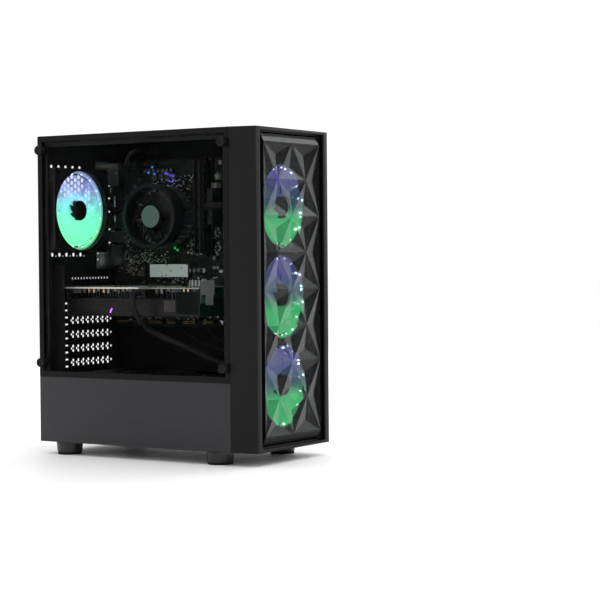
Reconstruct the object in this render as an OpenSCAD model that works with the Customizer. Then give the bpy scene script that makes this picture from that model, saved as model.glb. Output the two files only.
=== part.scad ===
// Desktop computer tower: steel case with a glass side, a faceted smoked front and its working parts.
// X runs across the tower with the glass at -X, Y from the front at -Y to the rear, and Z is up.
// Lengths are millimetres. The origin is on the floor, under the middle of the whole tower.

/* [Case] */
// Height of the case above its feet
case_h = 432; // [430:1:520]
// Width over the steel side panels
case_w = 192; // [190:1:232]
// Depth from the bezel's front to the rear wall
case_d = 368; // [366:1:442]
// Thickness of the folded steel sheet
sheet = 1; // [0.8:0.1:1.3]
// Gap between a part that comes off and the case
part_gap = 0.2; // [0.1:0.05:0.3]
// Space behind the board tray for cables
cable_space = 13; // [12:0.5:16]

/* [Glass side] */
// Thickness of the glass
glass_t = 4; // [3:0.1:5]
// Height of the steel panel under the glass
lower_h = 92; // [88:1:100]
// Width of the steel frame behind the rear, front and top edges of the glass
frame_w = 15; // [13:0.5:18]
// Diameter of the knob of a thumbscrew
knob_d = 13; // [10:0.5:14]
// How far a knob stands out
knob_h = 9; // [6:0.5:12]
// Diameter of a thumbscrew's shank
screw_d = 3.9; // [3:0.1:4.5]
// Distance of a thumbscrew from the glass's upper and lower edge
screw_inset = 20; // [16:1:26]

/* [Front] */
// Depth of the bezel
bezel_d = 39; // [38:0.5:48]
// Wall thickness of the bezel
bezel_wall = 2.5; // [2:0.1:3]
// How far the bezel's sides come in towards the front
bezel_taper = 7; // [4:0.5:9]
// Width of the rim round the bezel's front
rim_w = 10; // [8:0.5:12]
// Width of the dark gap between rim and faceted panel
gap_w = 10; // [8:0.5:12]
// Depth of a facet's hollow
facet_depth = 4; // [2:0.2:4.6]
// Rows of facet cells, one above the other
facet_rows = 4; // [3:1:6]

/* [Fans] */
// Width of a case fan's square frame
fan_w = 120; // [116:1:120]
// Thickness of a case fan
fan_t = 25; // [20:0.5:26]
// Distance between a case fan's screw holes
fan_pitch = 105; // [100:0.5:105]
// Distance between the front fans' centres
front_fan_step = 122; // [121:1:128]
// Number of front fans
front_fans = 3; // [3:1:3]

/* [Feet] */
// Height of a foot
foot_h = 18; // [15:0.5:22]
// Diameter of a foot
foot_d = 38; // [30:1:40]

/* [Board and card] */
// Width of the motherboard from the rear wall forwards
board_w = 202; // [190:1:226]
// Height of the motherboard
board_h = 244; // [244:1:250]
// Distance between expansion slots
slot_pitch = 20.32; // [20:0.01:20.4]
// Number of expansion slots
slots = 7; // [7:1:7]
// Length of the graphics card's board
card_l = 244; // [220:1:250]
// Diameter of the processor cooler
cooler_d = 94; // [88:1:98]

/* [Power supply] */
// Width of the power supply
psu_w = 150; // [140:1:150]
// Height of the power supply
psu_h = 86; // [80:1:86]
// Length of the power supply
psu_l = 140; // [130:1:160]

/* [Hidden] */
$fn = 48;

// Planes of the case, before the whole is moved over its own middle
x_left = -case_w / 2;
x_right = case_w / 2;
y_front = -case_d / 2;
y_rear = case_d / 2;
y_wall = y_front + bezel_d;
z_bottom = foot_h;
z_top = foot_h + case_h;
z_lower = z_bottom + lower_h;
x_in_low = x_left + sheet;
x_in_right = x_right - sheet - part_gap;
x_frame = x_left + glass_t + part_gap;
x_in_glass = x_frame + sheet;
x_tray = x_in_right - cable_space - sheet;
y_in_front = y_wall + sheet;
y_in_rear = y_rear - sheet;
lip_t = sheet;
screw_head = 8;
shift = [knob_h / 2, -(lip_t + screw_head) / 2, 0];

// Fans
rear_fan_x = x_in_glass + fan_w / 2 + 1;
rear_fan_z = z_top - 104;
front_fan_mid = z_bottom + case_h / 2 - 10;
fan_hole_r = 2.2;
opening_r = fan_w / 2 - 3;
ring_t = 2.5;
hub_r = 20;
hub_h = 17;
shaft_r = 2;
running = 0.05;
mount_t = 4;

// Board, slots and card
standoff = 6;
board_t = 1.6;
x_board = x_tray - standoff;
x_face = x_board - board_t;
z_board_top = z_top - 30;
y_board_rear = y_in_rear - 1;
first_slot_z = z_board_top - 172;
slot_x0 = -31;
slot_x1 = 68;
io_h = 44.5;
io_l = 158.8;
cooler_y = y_rear - 115;
cooler_z = z_board_top - 83.5;
cooler_r = cooler_d / 2;
card_z = first_slot_z - slot_pitch + 6.4;
card_x0 = -47;
card_x1 = x_face - 11;
card_y0 = y_in_rear - sheet - card_l;
card_drop = 39;
card_fan_r = 45;
card_fan_rear_y = card_y0 + 168;
card_fan_front_y = card_y0 + 68;
shroud_z0 = card_z - card_drop;
memory_y = [y_rear - 174, y_rear - 183.5];
memory_z = z_board_top - 70;

// Power supply and drive
psu_x0 = -80;
psu_z0 = z_bottom + sheet + 3;
psu_z1 = psu_z0 + psu_h;
psu_y0 = y_in_rear - psu_l;
psu_x = psu_x0 + psu_w / 2;
psu_fan_y = psu_y0 + psu_l / 2;
psu_fan_r = 57;
shroud_top = psu_z1 + 4;
psu_hole_x = [6, psu_w - 6];
psu_hole_z = [6, psu_h - 6];
inlet_x = psu_x0 + 30;
inlet_z = psu_z0 + 34;
switch_z = psu_z0 + 66;
switch_pin_y = y_in_rear - 3.5;
switch_pin_r = 1;
drive = [101.6, 147, 26.1];
drive_y = y_in_front + 6;
drive_x = -6;
cage_h = 66;
filter_w = 96;
filter_t = 2.4;

// Glass
glass_z0 = z_lower + part_gap;
glass_y0 = y_wall + part_gap;
glass_screws_y = [y_rear - 8, y_wall + 7.5];
glass_screws_z = [z_top - screw_inset, glass_z0 + screw_inset];
bush_r = 4;
boss_r = 4.5;
boss_l = 6;
shank_l = 14;

// Front panel
panel_w = case_w - 2 * (bezel_taper + rim_w + gap_w);
panel_z0 = z_bottom + 8;
panel_z1 = z_top - 8;
panel_bevel = 11;
panel_front = y_front + 1.2;
panel_back = y_front + 8;
mesh_y = panel_back;
col_step = panel_w / 4;
row_step = (panel_z1 - panel_z0 - 2 * panel_bevel) / (2 * facet_rows);

// Ports at the top
ports_x = [-60, 60];
ports_y = [y_wall + 8, y_wall + 28];
ports_mid_y = (ports_y[0] + ports_y[1]) / 2;
ports_h = 14;
power_x = -44;
reset_x = -24;
power_r = 6.8;
reset_r = 3.3;
press = 1.5;

module place() { translate(shift) children(); }
module sheet_x(at, t) { translate([at, 0, 0]) rotate([90, 0, 90]) linear_extrude(t) children(); }
module sheet_y(at, t) { translate([0, at + t, 0]) rotate([90, 0, 0]) linear_extrude(t) children(); }
module sheet_z(at, t) { translate([0, 0, at]) linear_extrude(t) children(); }
module area(a, b) { translate(a) square(b - a); }
module box(a, b) { translate(a) cube(b - a); }
module along_x(at, l, r) { translate(at) rotate([0, 90, 0]) cylinder(h = l, r = r); }
module along_y(at, l, r) { translate(at) rotate([-90, 0, 0]) cylinder(h = l, r = r); }
module rounded(a, b, r) {
    area([a.x + r, a.y], [b.x - r, b.y]);
    area([a.x, a.y + r], [b.x, b.y - r]);
    for (x = [a.x + r, b.x - r], y = [a.y + r, b.y - r]) translate([x, y]) circle(r);
}

// A case fan's square frame: intake at z = 0, struts and motor mount at the far side
module fan_frame(w, t, r, pitch, hole_r, mount_r) {
    difference() {
        sheet_z(0, t) difference() {
            rounded([-w / 2, -w / 2], [w / 2, w / 2], 5);
            circle(r, $fn = 96);
            for (x = [-1, 1], y = [-1, 1]) translate([x, y] * pitch / 2) circle(hole_r);
        }
        waist(w, t, r, pitch);
    }
    strut_w = 4;
    for (a = [45 : 90 : 315])
        rotate(a) box([mount_r - 1, -strut_w / 2, t - mount_t], [r + 1, strut_w / 2, t]);
    translate([0, 0, t - mount_t]) cylinder(h = mount_t, r = mount_r);
    translate([0, 0, 4]) cylinder(h = t - mount_t - 4, r = shaft_r);
}

// The slots between a fan frame's two flanges
module waist(w, t, r, pitch) {
    flange = 4;
    for (a = [0 : 90 : 270]) rotate(a)
        box([r + 1.4, -pitch / 2 + 14, flange], [w / 2 + 1, pitch / 2 - 14, t - flange]);
}

// A rotor: cup hub with a bore for its shaft, and slanted blades
module fan_rotor(hub, h, tip, blades, lean) {
    blade_t = 1.4;
    difference() {
        cylinder(h = h, r = hub);
        translate([0, 0, 1.5]) cylinder(h = h, r = shaft_r + running);
    }
    for (i = [0 : blades - 1]) rotate(360 * i / blades)
        translate([hub - 1.2, 0, h / 2]) rotate([90, 0, 90])
            linear_extrude(tip - hub) polygon([
                [-lean - blade_t, -h / 2 + 1], [-lean + blade_t, -h / 2 + 1],
                [lean + blade_t, h / 2 - 1], [lean - blade_t, h / 2 - 1]]);
}

// A knob with a notched edge, standing on z = 0
module knob(d, h) {
    notches = 16;
    linear_extrude(h) difference() {
        circle(d / 2);
        for (i = [0 : notches - 1]) rotate(360 * i / notches) translate([d / 2 + 0.5, 0]) circle(1);
    }
}

// A round tube swept along a smooth curve through the given points
function mix(p, q, r, s, t) = 0.5 * (2 * q + (r - p) * t + (2 * p - 5 * q + 4 * r - s) * t * t
    + (3 * q - p - 3 * r + s) * t * t * t);
function smooth(pts, n) = let (last = len(pts) - 1) [
    for (i = [0 : last - 1], k = [0 : n - 1])
        mix(pts[max(i - 1, 0)], pts[i], pts[i + 1], pts[min(i + 2, last)], k / n),
    pts[last]];
function unit(v) = v / norm(v);
function flat_to(v, t) = unit(v - (v * t) * t);
module tube(pts, d, n, sides) {
    path = smooth(pts, n);
    last = len(path) - 1;
    dirs = [for (i = [0 : last]) i == 0 ? unit(pts[1] - pts[0])
        : i == last ? unit(pts[len(pts) - 1] - pts[len(pts) - 2]) : unit(path[i + 1] - path[i - 1])];
    start = abs(dirs[0].x) > 0.8 ? [0, 1, 0] : [1, 0, 0];
    ups = [for (i = 0, u = flat_to(start, dirs[0]); i <= last;
        i = i + 1, u = flat_to(u, dirs[min(i, last)])) u];
    ring = [for (i = [0 : last], k = [0 : sides - 1])
        path[i] + d / 2 * (cos(360 * k / sides) * ups[i] + sin(360 * k / sides) * cross(dirs[i], ups[i]))];
    walls = [for (i = [0 : last - 1], k = [0 : sides - 1])
        [i * sides + k, (i + 1) * sides + k, (i + 1) * sides + (k + 1) % sides, i * sides + (k + 1) % sides]];
    ends = [[for (k = [0 : sides - 1]) k], [for (k = [sides - 1 : -1 : 0]) last * sides + k]];
    polyhedron(points = ring, faces = concat(walls, ends), convexity = 8);
}

// Case
module base_pan() place() color("#26272a") {
    vent_r = psu_fan_r - 4;
    sheet_z(z_bottom, sheet) difference() {
        area([x_in_low, y_in_front], [x_in_right, y_in_rear]);
        intersection() {
            translate([psu_x, psu_fan_y]) circle(vent_r);
            for (i = [-6 : 6]) translate([psu_x - 60, psu_fan_y + 8 * i - 2]) square([120, 4.4]);
        }
        for (p = foot_places()) translate(p) circle(2.5);
    }
    for (x = psu_hole_x, y = [psu_y0 + 10, y_in_rear - 14])
        box([psu_x0 + x - 6, y - 6, z_bottom + sheet], [psu_x0 + x + 6, y + 6, psu_z0]);
    for (s = [-1, 1]) {
        rail = filter_w / 2 + 0.4;
        box([psu_x + s * rail - (s < 0 ? 1.2 : 0), psu_fan_y - 60, z_bottom - filter_t - 1.6],
            [psu_x + s * rail + (s > 0 ? 1.2 : 0), y_in_rear, z_bottom]);
        box([psu_x + s * rail - (s > 0 ? 3 : 0), psu_fan_y - 60, z_bottom - filter_t - 1.6],
            [psu_x + s * rail + (s < 0 ? 3 : 0), y_in_rear, z_bottom - filter_t - 0.7]);
    }
}

module top_panel() place() color("#232427")
    sheet_z(z_top - sheet, sheet) difference() {
        area([x_in_glass, y_wall], [x_in_right, y_rear]);
        area([ports_x[0], ports_y[0]], [ports_x[1], ports_y[1]]);
        for (y = [y_rear - 80, y_rear - 208], i = [-5 : 5], x = [-54, 2])
            rounded([x, y + 10 * i - 2], [x + 52, y + 10 * i + 2], 1.9);
    }

module dot_row(x0, step, n, z, r) {
    for (i = [0 : n - 1]) translate([x0 + step * i, z]) circle(r);
}

module rear_panel() place() color("#222326") {
    hex = 9;
    hole_r = 3.4;
    grille_r = 57;
    sheet_y(y_in_rear, sheet) difference() {
        area([x_in_glass, z_bottom], [x_in_right, z_top - sheet]);
        for (i = [-8 : 8], j = [-8 : 8])
            let (x = i * hex * sin(60), z = (j + (abs(i) % 2) / 2) * hex)
                if (norm([x, z]) < grille_r - 1)
                    translate([rear_fan_x + x, rear_fan_z + z]) circle(hole_r, $fn = 24);
        for (x = [-1, 1], z = [-1, 1])
            translate([rear_fan_x, rear_fan_z] + [x, z] * fan_pitch / 2) circle(fan_hole_r);
        for (z = [rear_fan_z - 63.5, rear_fan_z + 62.5]) {
            dot_row(-67, 15.7, 5, z, 2.9);
            dot_row(-74.9, 15.7, 6, z - 2, 1.2);
        }
        dot_row(-23.5, 6.7, 13, first_slot_z, 2);
        for (k = [1 : slots - 1])
            let (z = first_slot_z - slot_pitch * k) area([slot_x0, z - 6.5], [slot_x1, z + 6.5]);
        for (k = [2 : slots - 1], s = [4.5, -5.5])
            translate([slot_x0 - 6.5, first_slot_z - slot_pitch * k + s]) rounded([-4, -1.2], [4, 1.2], 1.1);
        vent_top = first_slot_z + 14;
        vent_split = first_slot_z - 57.5;
        for (i = [-1 : 1], z = [shroud_top + 6 : 6 : vent_top])
            if (abs(z - vent_split) > 5)
                translate([-50.5 + 5.4 * i, z + (i == 0 ? 3 : 0)]) circle(1.9, $fn = 16);
        area([-60, vent_split - 1.5], [-43, vent_split + 1.5]);
        area([x_face + 3.5 - io_h, z_board_top - io_l], [x_face + 3.5, z_board_top]);
        area([psu_x0 + 3, psu_z0 + 12], [psu_x0 + psu_w - 3, psu_z1 - 12]);
        area([psu_x0 + 12, psu_z0 + 3], [psu_x0 + psu_w - 12, psu_z1 - 3]);
        for (x = psu_hole_x, z = psu_hole_z) translate([psu_x0 + x, psu_z0 + z]) circle(fan_hole_r);
        for (z = side_screw_z()) translate([x_in_right - 6, z]) circle(screw_d / 2 + running);
    }
    box([x_in_low, y_in_rear, z_bottom], [x_in_glass, y_rear, z_lower]);
    box([-70, y_in_rear - 24, shroud_top], [-70 + sheet, y_in_rear, first_slot_z + 20]);
}

module front_wall() place() color("#222326")
    sheet_y(y_wall, sheet) difference() {
        union() {
            area([x_in_glass, z_bottom], [x_in_right, z_top - sheet]);
            area([x_in_low, z_bottom], [x_in_glass, z_lower]);
        }
        for (z = front_fan_z()) {
            translate([0, z]) circle(opening_r, $fn = 96);
            for (x = [-1, 1], s = [-1, 1]) translate([0, z] + [x, s] * fan_pitch / 2) circle(fan_hole_r);
        }
        for (p = peg_places()) translate(p) circle(peg_r + 0.3);
    }

function front_fan_z() = let (half = (front_fans - 1) / 2)
    [for (i = [-half : half]) front_fan_mid - i * front_fan_step];
function side_screw_z() = [z_top - 46, z_bottom + 46];
function foot_places() = [for (x = [-1, 1], y = [y_front + 70, y_rear - 37]) [x * (case_w / 2 - 20), y]];
function peg_places() = [for (x = [-1, 1], z = [z_bottom + 14, z_top - 14]) [x * (case_w / 2 - 24), z]];
peg_r = 3;

module board_tray() place() color("#1d1e20") {
    difference() {
        sheet_x(x_tray, sheet) difference() {
            area([y_in_front, z_bottom + sheet], [y_in_rear, z_top - sheet]);
            rounded([cooler_y - 45, cooler_z - 42], [cooler_y + 45, cooler_z + 42], 5);
            for (z = [z_board_top - 105, z_board_top - 215])
                rounded([y_board_rear - board_w - 26, z], [y_board_rear - board_w - 8, z + 80], 7);
            rounded([y_board_rear - 80, z_board_top + 5], [y_board_rear - 40, z_top - 9], 4);
            rounded([y_in_front + 15, z_bottom + 14], [psu_y0 + 10, shroud_top - 12], 8);
            for (p = foot_places()) area([p.y - 5, z_bottom], [p.y + 5, z_bottom + sheet + 2.5]);
        }
        for (p = board_holes()) along_x([x_tray - 1, p.x, p.y], 4, 1.5);
    }
    for (p = board_holes()) difference() {
        along_x([x_board, p.x, p.y], standoff, 3);
        along_x([x_board - 1, p.x, p.y], standoff + 3, 1.5);
    }
}
function board_holes() = [for (y = [y_board_rear - 30, y_board_rear - 165, y_board_rear - board_w + 6],
    z = [z_board_top - 7, z_board_top - 162, z_board_top - board_h + 7]) [y, z]];

module window_frame() place() color("#2a2b2e") {
    difference() {
        union() {
            sheet_x(x_frame, sheet) difference() {
                area([y_in_front, z_lower], [y_rear, z_top]);
                area([y_in_front + frame_w - 4, z_lower - 1], [y_in_rear - frame_w + 1, z_top - frame_w]);
            }
            box([x_in_glass, y_in_front + frame_w - 5, shroud_top],
                [x_in_glass + 9, y_in_front + frame_w - 4, z_top - frame_w + 1]);
            box([x_in_glass, y_in_front + frame_w - 4, z_top - frame_w],
                [x_in_glass + 7, y_in_rear - frame_w + 1, z_top - frame_w + 1]);
            box([x_in_glass, y_in_rear - frame_w + 1, shroud_top],
                [x_in_glass + 5, y_in_rear - frame_w + 2, rear_fan_z - fan_w / 2 - 2]);
            for (y = glass_screws_y, z = glass_screws_z) along_x([x_in_glass - 0.5, y, z], boss_l, boss_r);
        }
        for (y = glass_screws_y, z = glass_screws_z)
            along_x([x_frame - 1, y, z], boss_l + 4, screw_d / 2 + running);
        for (y = [y_rear - 8, y_wall + 10, y_wall + 27]) along_x([x_frame - 1, y, z_top - 6], 4, 1.7);
    }
}

module psu_shroud() place() color("#1d1e20") {
    sheet_z(shroud_top - sheet, sheet) difference() {
        area([x_in_glass, y_in_front], [x_tray, y_in_rear]);
        for (y = [y_rear - 130 : 9 : y_rear - 56], x = [-64 : 12 : 60])
            translate([x, y]) circle(2.8, $fn = 20);
        rounded([28, y_rear - 230], [x_tray - 8, y_rear - 170], 6);
        rounded([-30, y_in_front + 6], [52, y_in_front + 30], 6);
    }
    box([x_in_glass, y_in_front, shroud_top - 12], [x_in_glass + sheet, y_in_rear, shroud_top - sheet]);
}

module lower_side_panel() place() color("#4a4b4e") {
    sheet_x(x_left, sheet) area([y_wall + part_gap, z_bottom], [y_rear, z_lower]);
    box([x_in_low, y_in_front, z_lower - sheet], [x_frame, y_in_rear, z_lower]);
    box([x_in_low, y_in_front, z_bottom + sheet], [x_in_low + 3, y_in_front + sheet, shroud_top - 14]);
}

module right_side_panel() place() color("#2a2b2e") {
    hook_z = [z_bottom + sheet + 2, z_top - sheet - 7];
    sheet_x(x_right - sheet, sheet) area([y_wall + part_gap, z_bottom], [y_rear, z_top]);
    difference() {
        box([x_right - 14, y_rear + part_gap, z_bottom], [x_right, y_rear + part_gap + lip_t, z_top]);
        for (z = side_screw_z()) along_y([x_in_right - 6, y_rear - 1, z], 6, screw_d / 2 + running);
    }
    box([x_right - sheet, y_rear - 0.5, z_bottom], [x_right, y_rear + part_gap + lip_t, z_top]);
    for (y = [y_wall + 40, 0, y_rear - 60], z = hook_z)
        box([x_right - 6, y, z], [x_right - sheet, y + 12, z + 5]);
    box([x_right - 8, y_wall + 4, z_bottom + 4], [x_right - sheet, y_wall + 5, z_top - 4]);
}

module side_screw(z) color("#17181a") {
    translate([x_in_right - 6, y_rear + part_gap + lip_t + part_gap, z]) rotate([-90, 0, 0])
        knob(knob_d - 1, screw_head - 2 * part_gap);
    along_y([x_in_right - 6, y_rear - 8, z], 10, screw_d / 2);
}
module side_screw_upper() place() side_screw(side_screw_z()[0]);
module side_screw_lower() place() side_screw(side_screw_z()[1]);

// Front
function bezel_half(y) = case_w / 2 - bezel_taper * max(0, 1 - (y - y_front) / (bezel_d - 3));
module bezel_plan(inset) {
    y_back = y_wall - part_gap;
    polygon([for (s = [-1, 1], y = s < 0 ? [y_front, y_front + bezel_d - 3, y_back]
        : [y_back, y_front + bezel_d - 3, y_front]) [s * (bezel_half(y) - inset), y]]);
}

module front_bezel() place() color("#1b1c1e") {
    rim_t = 3;
    open_w = case_w / 2 - bezel_taper - rim_w;
    y_back = y_wall - part_gap;
    difference() {
        sheet_z(z_bottom, case_h) bezel_plan(0);
        difference() {
            sheet_z(z_bottom + bezel_wall, case_h - 2 * bezel_wall) bezel_plan(bezel_wall);
            box([x_left, y_front - 1, z_bottom], [x_right, y_front + rim_t, z_top]);
        }
        box([-(case_w / 2 - bezel_wall), y_wall - 2, z_bottom + bezel_wall],
            [case_w / 2 - bezel_wall, y_wall + 2, z_top - bezel_wall]);
        box([-open_w, y_front - 1, z_bottom + 4], [open_w, y_front + rim_t + 1, z_top - 4]);
    }
    ledge_w = 5;
    ledge_y = mesh_y + 0.8;
    side = bezel_half(ledge_y) - bezel_wall;
    for (s = [-1, 1])
        box([s < 0 ? -side - 1 : side - ledge_w, ledge_y, z_bottom + 1],
            [s < 0 ? -side + ledge_w : side + 1, ledge_y + 2, z_top - 1]);
    for (z = [z_bottom + 1, z_top - 1 - ledge_w]) box([-side, ledge_y, z], [side, ledge_y + 2, z + ledge_w]);
    for (p = peg_places()) {
        along_y([p.x, ledge_y, p.y], y_wall + 5 - ledge_y, peg_r);
        box([p.x < 0 ? -side - 2 : p.x, ledge_y, p.y - 1], [p.x < 0 ? p.x : side + 2, y_back - 4, p.y + 1]);
    }
}

module bezel_mesh() place() color("#101112") {
    side = bezel_half(mesh_y) - bezel_wall - 0.2;
    sheet_y(mesh_y, 0.8) difference() {
        area([-side, z_bottom + bezel_wall + 0.2], [side, z_top - bezel_wall - 0.2]);
        area([-panel_w / 2 + 3, panel_z0 + 4], [panel_w / 2 - 3, panel_z1 - 4]);
        for (s = [-1, 1], z = [panel_z0 + 4 : 7 : panel_z1 - 4]) translate([s * (panel_w / 2 + 5), z])
            circle(2.4, $fn = 16);
    }
}

// The faceted panel: a bevelled slab whose front is a net of three-sided hollows
function net_x(row) = row % 2 == 0 ? [-2, 0, 2] : [-1, 1];
function net_z(row) = panel_z0 + panel_bevel + row * row_step;
function net_start(row) = row == 0 ? 0 : net_start(row - 1) + len(net_x(row - 1));
module facet_panel() place() color("#3a3b40b0") {
    rows = 2 * facet_rows;
    net = [for (r = [0 : rows], c = net_x(r)) [c * col_step, panel_front, net_z(r)]];
    cells = concat(
        [for (r = [0 : rows - 1]) let (a = net_start(r), b = net_start(r + 1)) each r % 2 == 0
            ? [[a, a + 1, b], [a + 1, a + 2, b + 1], [a + 1, b + 1, b]]
            : [[a, b + 1, b], [a + 1, b + 2, b + 1], [a, a + 1, b + 1]]],
        [for (r = [0 : 2 : rows - 2]) let (a = net_start(r), b = net_start(r + 1), c = net_start(r + 2))
            each [[a, b, c], [a + 2, c + 2, b + 1]]]);
    deeps = [for (t = cells) (net[t[0]] + net[t[1]] + net[t[2]]) / 3 + [0, facet_depth, 0]];
    first = len(net);
    facets = [for (i = [0 : len(cells) - 1]) let (t = cells[i])
        each [[t[1], t[0], first + i], [t[2], t[1], first + i], [t[0], t[2], first + i]]];
    corners = [for (y = [panel_back - 1.2, panel_back],
        p = [[-1, panel_z0], [1, panel_z0], [1, panel_z1], [-1, panel_z1]])
        [p.x * panel_w / 2, y, p.y]];
    k = first + len(deeps);
    low = [0, 1, 2];
    high = [net_start(rows), net_start(rows) + 1, net_start(rows) + 2];
    left = [for (r = [0 : 2 : rows]) net_start(r)];
    right = [for (r = [rows : -2 : 0]) net_start(r) + 2];
    rim = [
        concat([k + 1, k], low),
        concat([k + 3, k + 2], [high[2], high[1], high[0]]),
        concat([k, k + 3], [for (i = [len(left) - 1 : -1 : 0]) left[i]]),
        concat([k + 2, k + 1], [for (i = [len(right) - 1 : -1 : 0]) right[i]])];
    sides = [for (i = [0 : 3]) [k + i, k + (i + 1) % 4, k + 4 + (i + 1) % 4, k + 4 + i]];
    polyhedron(points = concat(net, deeps, corners),
        faces = concat(facets, rim, sides, [[k + 4, k + 5, k + 6, k + 7]]), convexity = 12);
}

// Glass and its thumbscrews
module glass_panel() place() color("#20242888")
    sheet_x(x_left, glass_t) difference() {
        area([glass_y0, glass_z0], [y_rear, z_top]);
        for (y = glass_screws_y, z = glass_screws_z) translate([y, z]) circle(bush_r);
    }
module glass_bushes() place() color("#0e0e0f")
    sheet_x(x_left, glass_t) for (y = glass_screws_y, z = glass_screws_z) translate([y, z]) difference() {
        circle(bush_r);
        circle(screw_d / 2 + running);
    }
module glass_screw(i, j) place() color("#17181a") {
    at = [x_left - part_gap, glass_screws_y[i], glass_screws_z[j]];
    translate(at) rotate([0, -90, 0]) knob(knob_d, knob_h - part_gap);
    along_x(at, shank_l, screw_d / 2);
}

// Feet
module feet() place() color("#1a1b1d") for (p = foot_places()) translate([p.x, p.y, 3]) difference() {
    cylinder(h = foot_h - 3, r1 = foot_d / 2 - 1.5, r2 = foot_d / 2);
    translate([0, 0, -1]) cylinder(h = foot_h - 7, r = foot_d / 2 - 5);
    cylinder(h = foot_h, r = 2.3);
}
module foot_pads() place() color("#3a3b3c") for (p = foot_places()) translate(p) difference() {
    cylinder(h = 3, r = foot_d / 2 - 2);
    translate([0, 0, -1]) cylinder(h = 5, r = foot_d / 2 - 5);
}

// Buttons and ports in the top
module power_button() place() color("#303134")
    translate([power_x, ports_mid_y, z_top - ports_h + 4]) cylinder(h = ports_h - 4.2, r = power_r);
module reset_button() place() color("#303134")
    translate([reset_x, ports_mid_y, z_top - ports_h + 4]) cylinder(h = ports_h - 4.2, r = reset_r);
module front_ports() place() color("#141416") {
    mid = (ports_y[0] + ports_y[1]) / 2;
    z0 = z_top - ports_h;
    difference() {
        box([ports_x[0], ports_y[0], z0], [ports_x[1], ports_y[1], z_top]);
        translate([power_x, mid, z0 + 2]) cylinder(h = ports_h, r = power_r + part_gap);
        translate([reset_x, mid, z0 + 2]) cylinder(h = ports_h, r = reset_r + part_gap);
        for (x = [-9, 3]) translate([x, mid, z0 + 2]) cylinder(h = ports_h, r = 1.8);
        for (x = [20, 42]) box([x - 6.6, mid - 2.9, z0 + 2], [x + 6.6, mid + 2.9, z_top + 1]);
    }
    for (x = [20, 42]) box([x - 5.6, mid + 0.2, z0 + 2], [x + 5.6, mid + 2, z_top - 1.5]);
}

module psu_filter() place() color("#2c2d2f") {
    z0 = z_bottom - filter_t - 0.4;
    sheet_z(z0, filter_t) difference() {
        area([psu_x - filter_w / 2, psu_fan_y - 58], [psu_x + filter_w / 2, y_rear]);
        for (i = [0 : 3], j = [0 : 3])
            translate([psu_x - filter_w / 2 + 5 + 22 * i, psu_fan_y - 52 + 29 * j]) square([20, 26]);
    }
}

// Case fans
module front_fan_place(z) { translate([0, y_wall - fan_t, z]) rotate([-90, 0, 0]) children(); }
module rear_fan_place() {
    translate([rear_fan_x, y_in_rear - fan_t, rear_fan_z]) rotate([-90, 0, 0]) children();
}
module front_fan_frames() place() color("#202124")
    for (z = front_fan_z())
        front_fan_place(z) fan_frame(fan_w, fan_t, opening_r, fan_pitch, fan_hole_r, hub_r);
module front_rotor(i) place() color("#d8dde6") front_fan_place(front_fan_z()[i])
    translate([0, 0, 2.5]) fan_rotor(hub_r, hub_h, opening_r - ring_t - 2.5, 9, 10);
module rear_fan_frame() place() color("#202124")
    rear_fan_place() fan_frame(fan_w, fan_t, opening_r, fan_pitch, fan_hole_r, hub_r);
module rear_rotor() place() color("#d8dde6") rear_fan_place()
    translate([0, 0, 2.5]) fan_rotor(hub_r, hub_h, opening_r - ring_t - 2.5, 9, 10);
module light_ring() translate([0, 0, 8]) linear_extrude(6) difference() {
    circle(opening_r, $fn = 96);
    circle(opening_r - ring_t, $fn = 96);
}
module light_rings() place() color("#bfe8ff") {
    for (z = front_fan_z()) front_fan_place(z) light_ring();
    rear_fan_place() light_ring();
}

module pan_screw(l, r, head_r, head_h) {
    cylinder(h = head_h, r = head_r);
    translate([0, 0, -l]) cylinder(h = l + 0.1, r = r);
}
module screws() place() color("#8d9094") {
    for (z = front_fan_z(), x = [-1, 1], s = [-1, 1])
        translate([x * fan_pitch / 2, y_in_front, z + s * fan_pitch / 2]) rotate([-90, 0, 0])
            pan_screw(10, 2, 4, 2);
    for (x = [-1, 1], s = [-1, 1])
        translate([rear_fan_x + x * fan_pitch / 2, y_rear, rear_fan_z + s * fan_pitch / 2])
            rotate([-90, 0, 0]) pan_screw(10, 2, 4, 2);
    for (x = psu_hole_x, z = psu_hole_z)
        translate([psu_x0 + x, y_rear, psu_z0 + z]) rotate([-90, 0, 0]) pan_screw(6, 1.9, 3.8, 2);
    for (p = board_holes()) translate([x_face, p.x, p.y]) rotate([0, -90, 0]) pan_screw(6, 1.45, 3.3, 1.8);
    for (p = foot_places()) translate([p.x, p.y, z_bottom + sheet]) pan_screw(4.5, 2.2, 4, 1.6);
}

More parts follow.
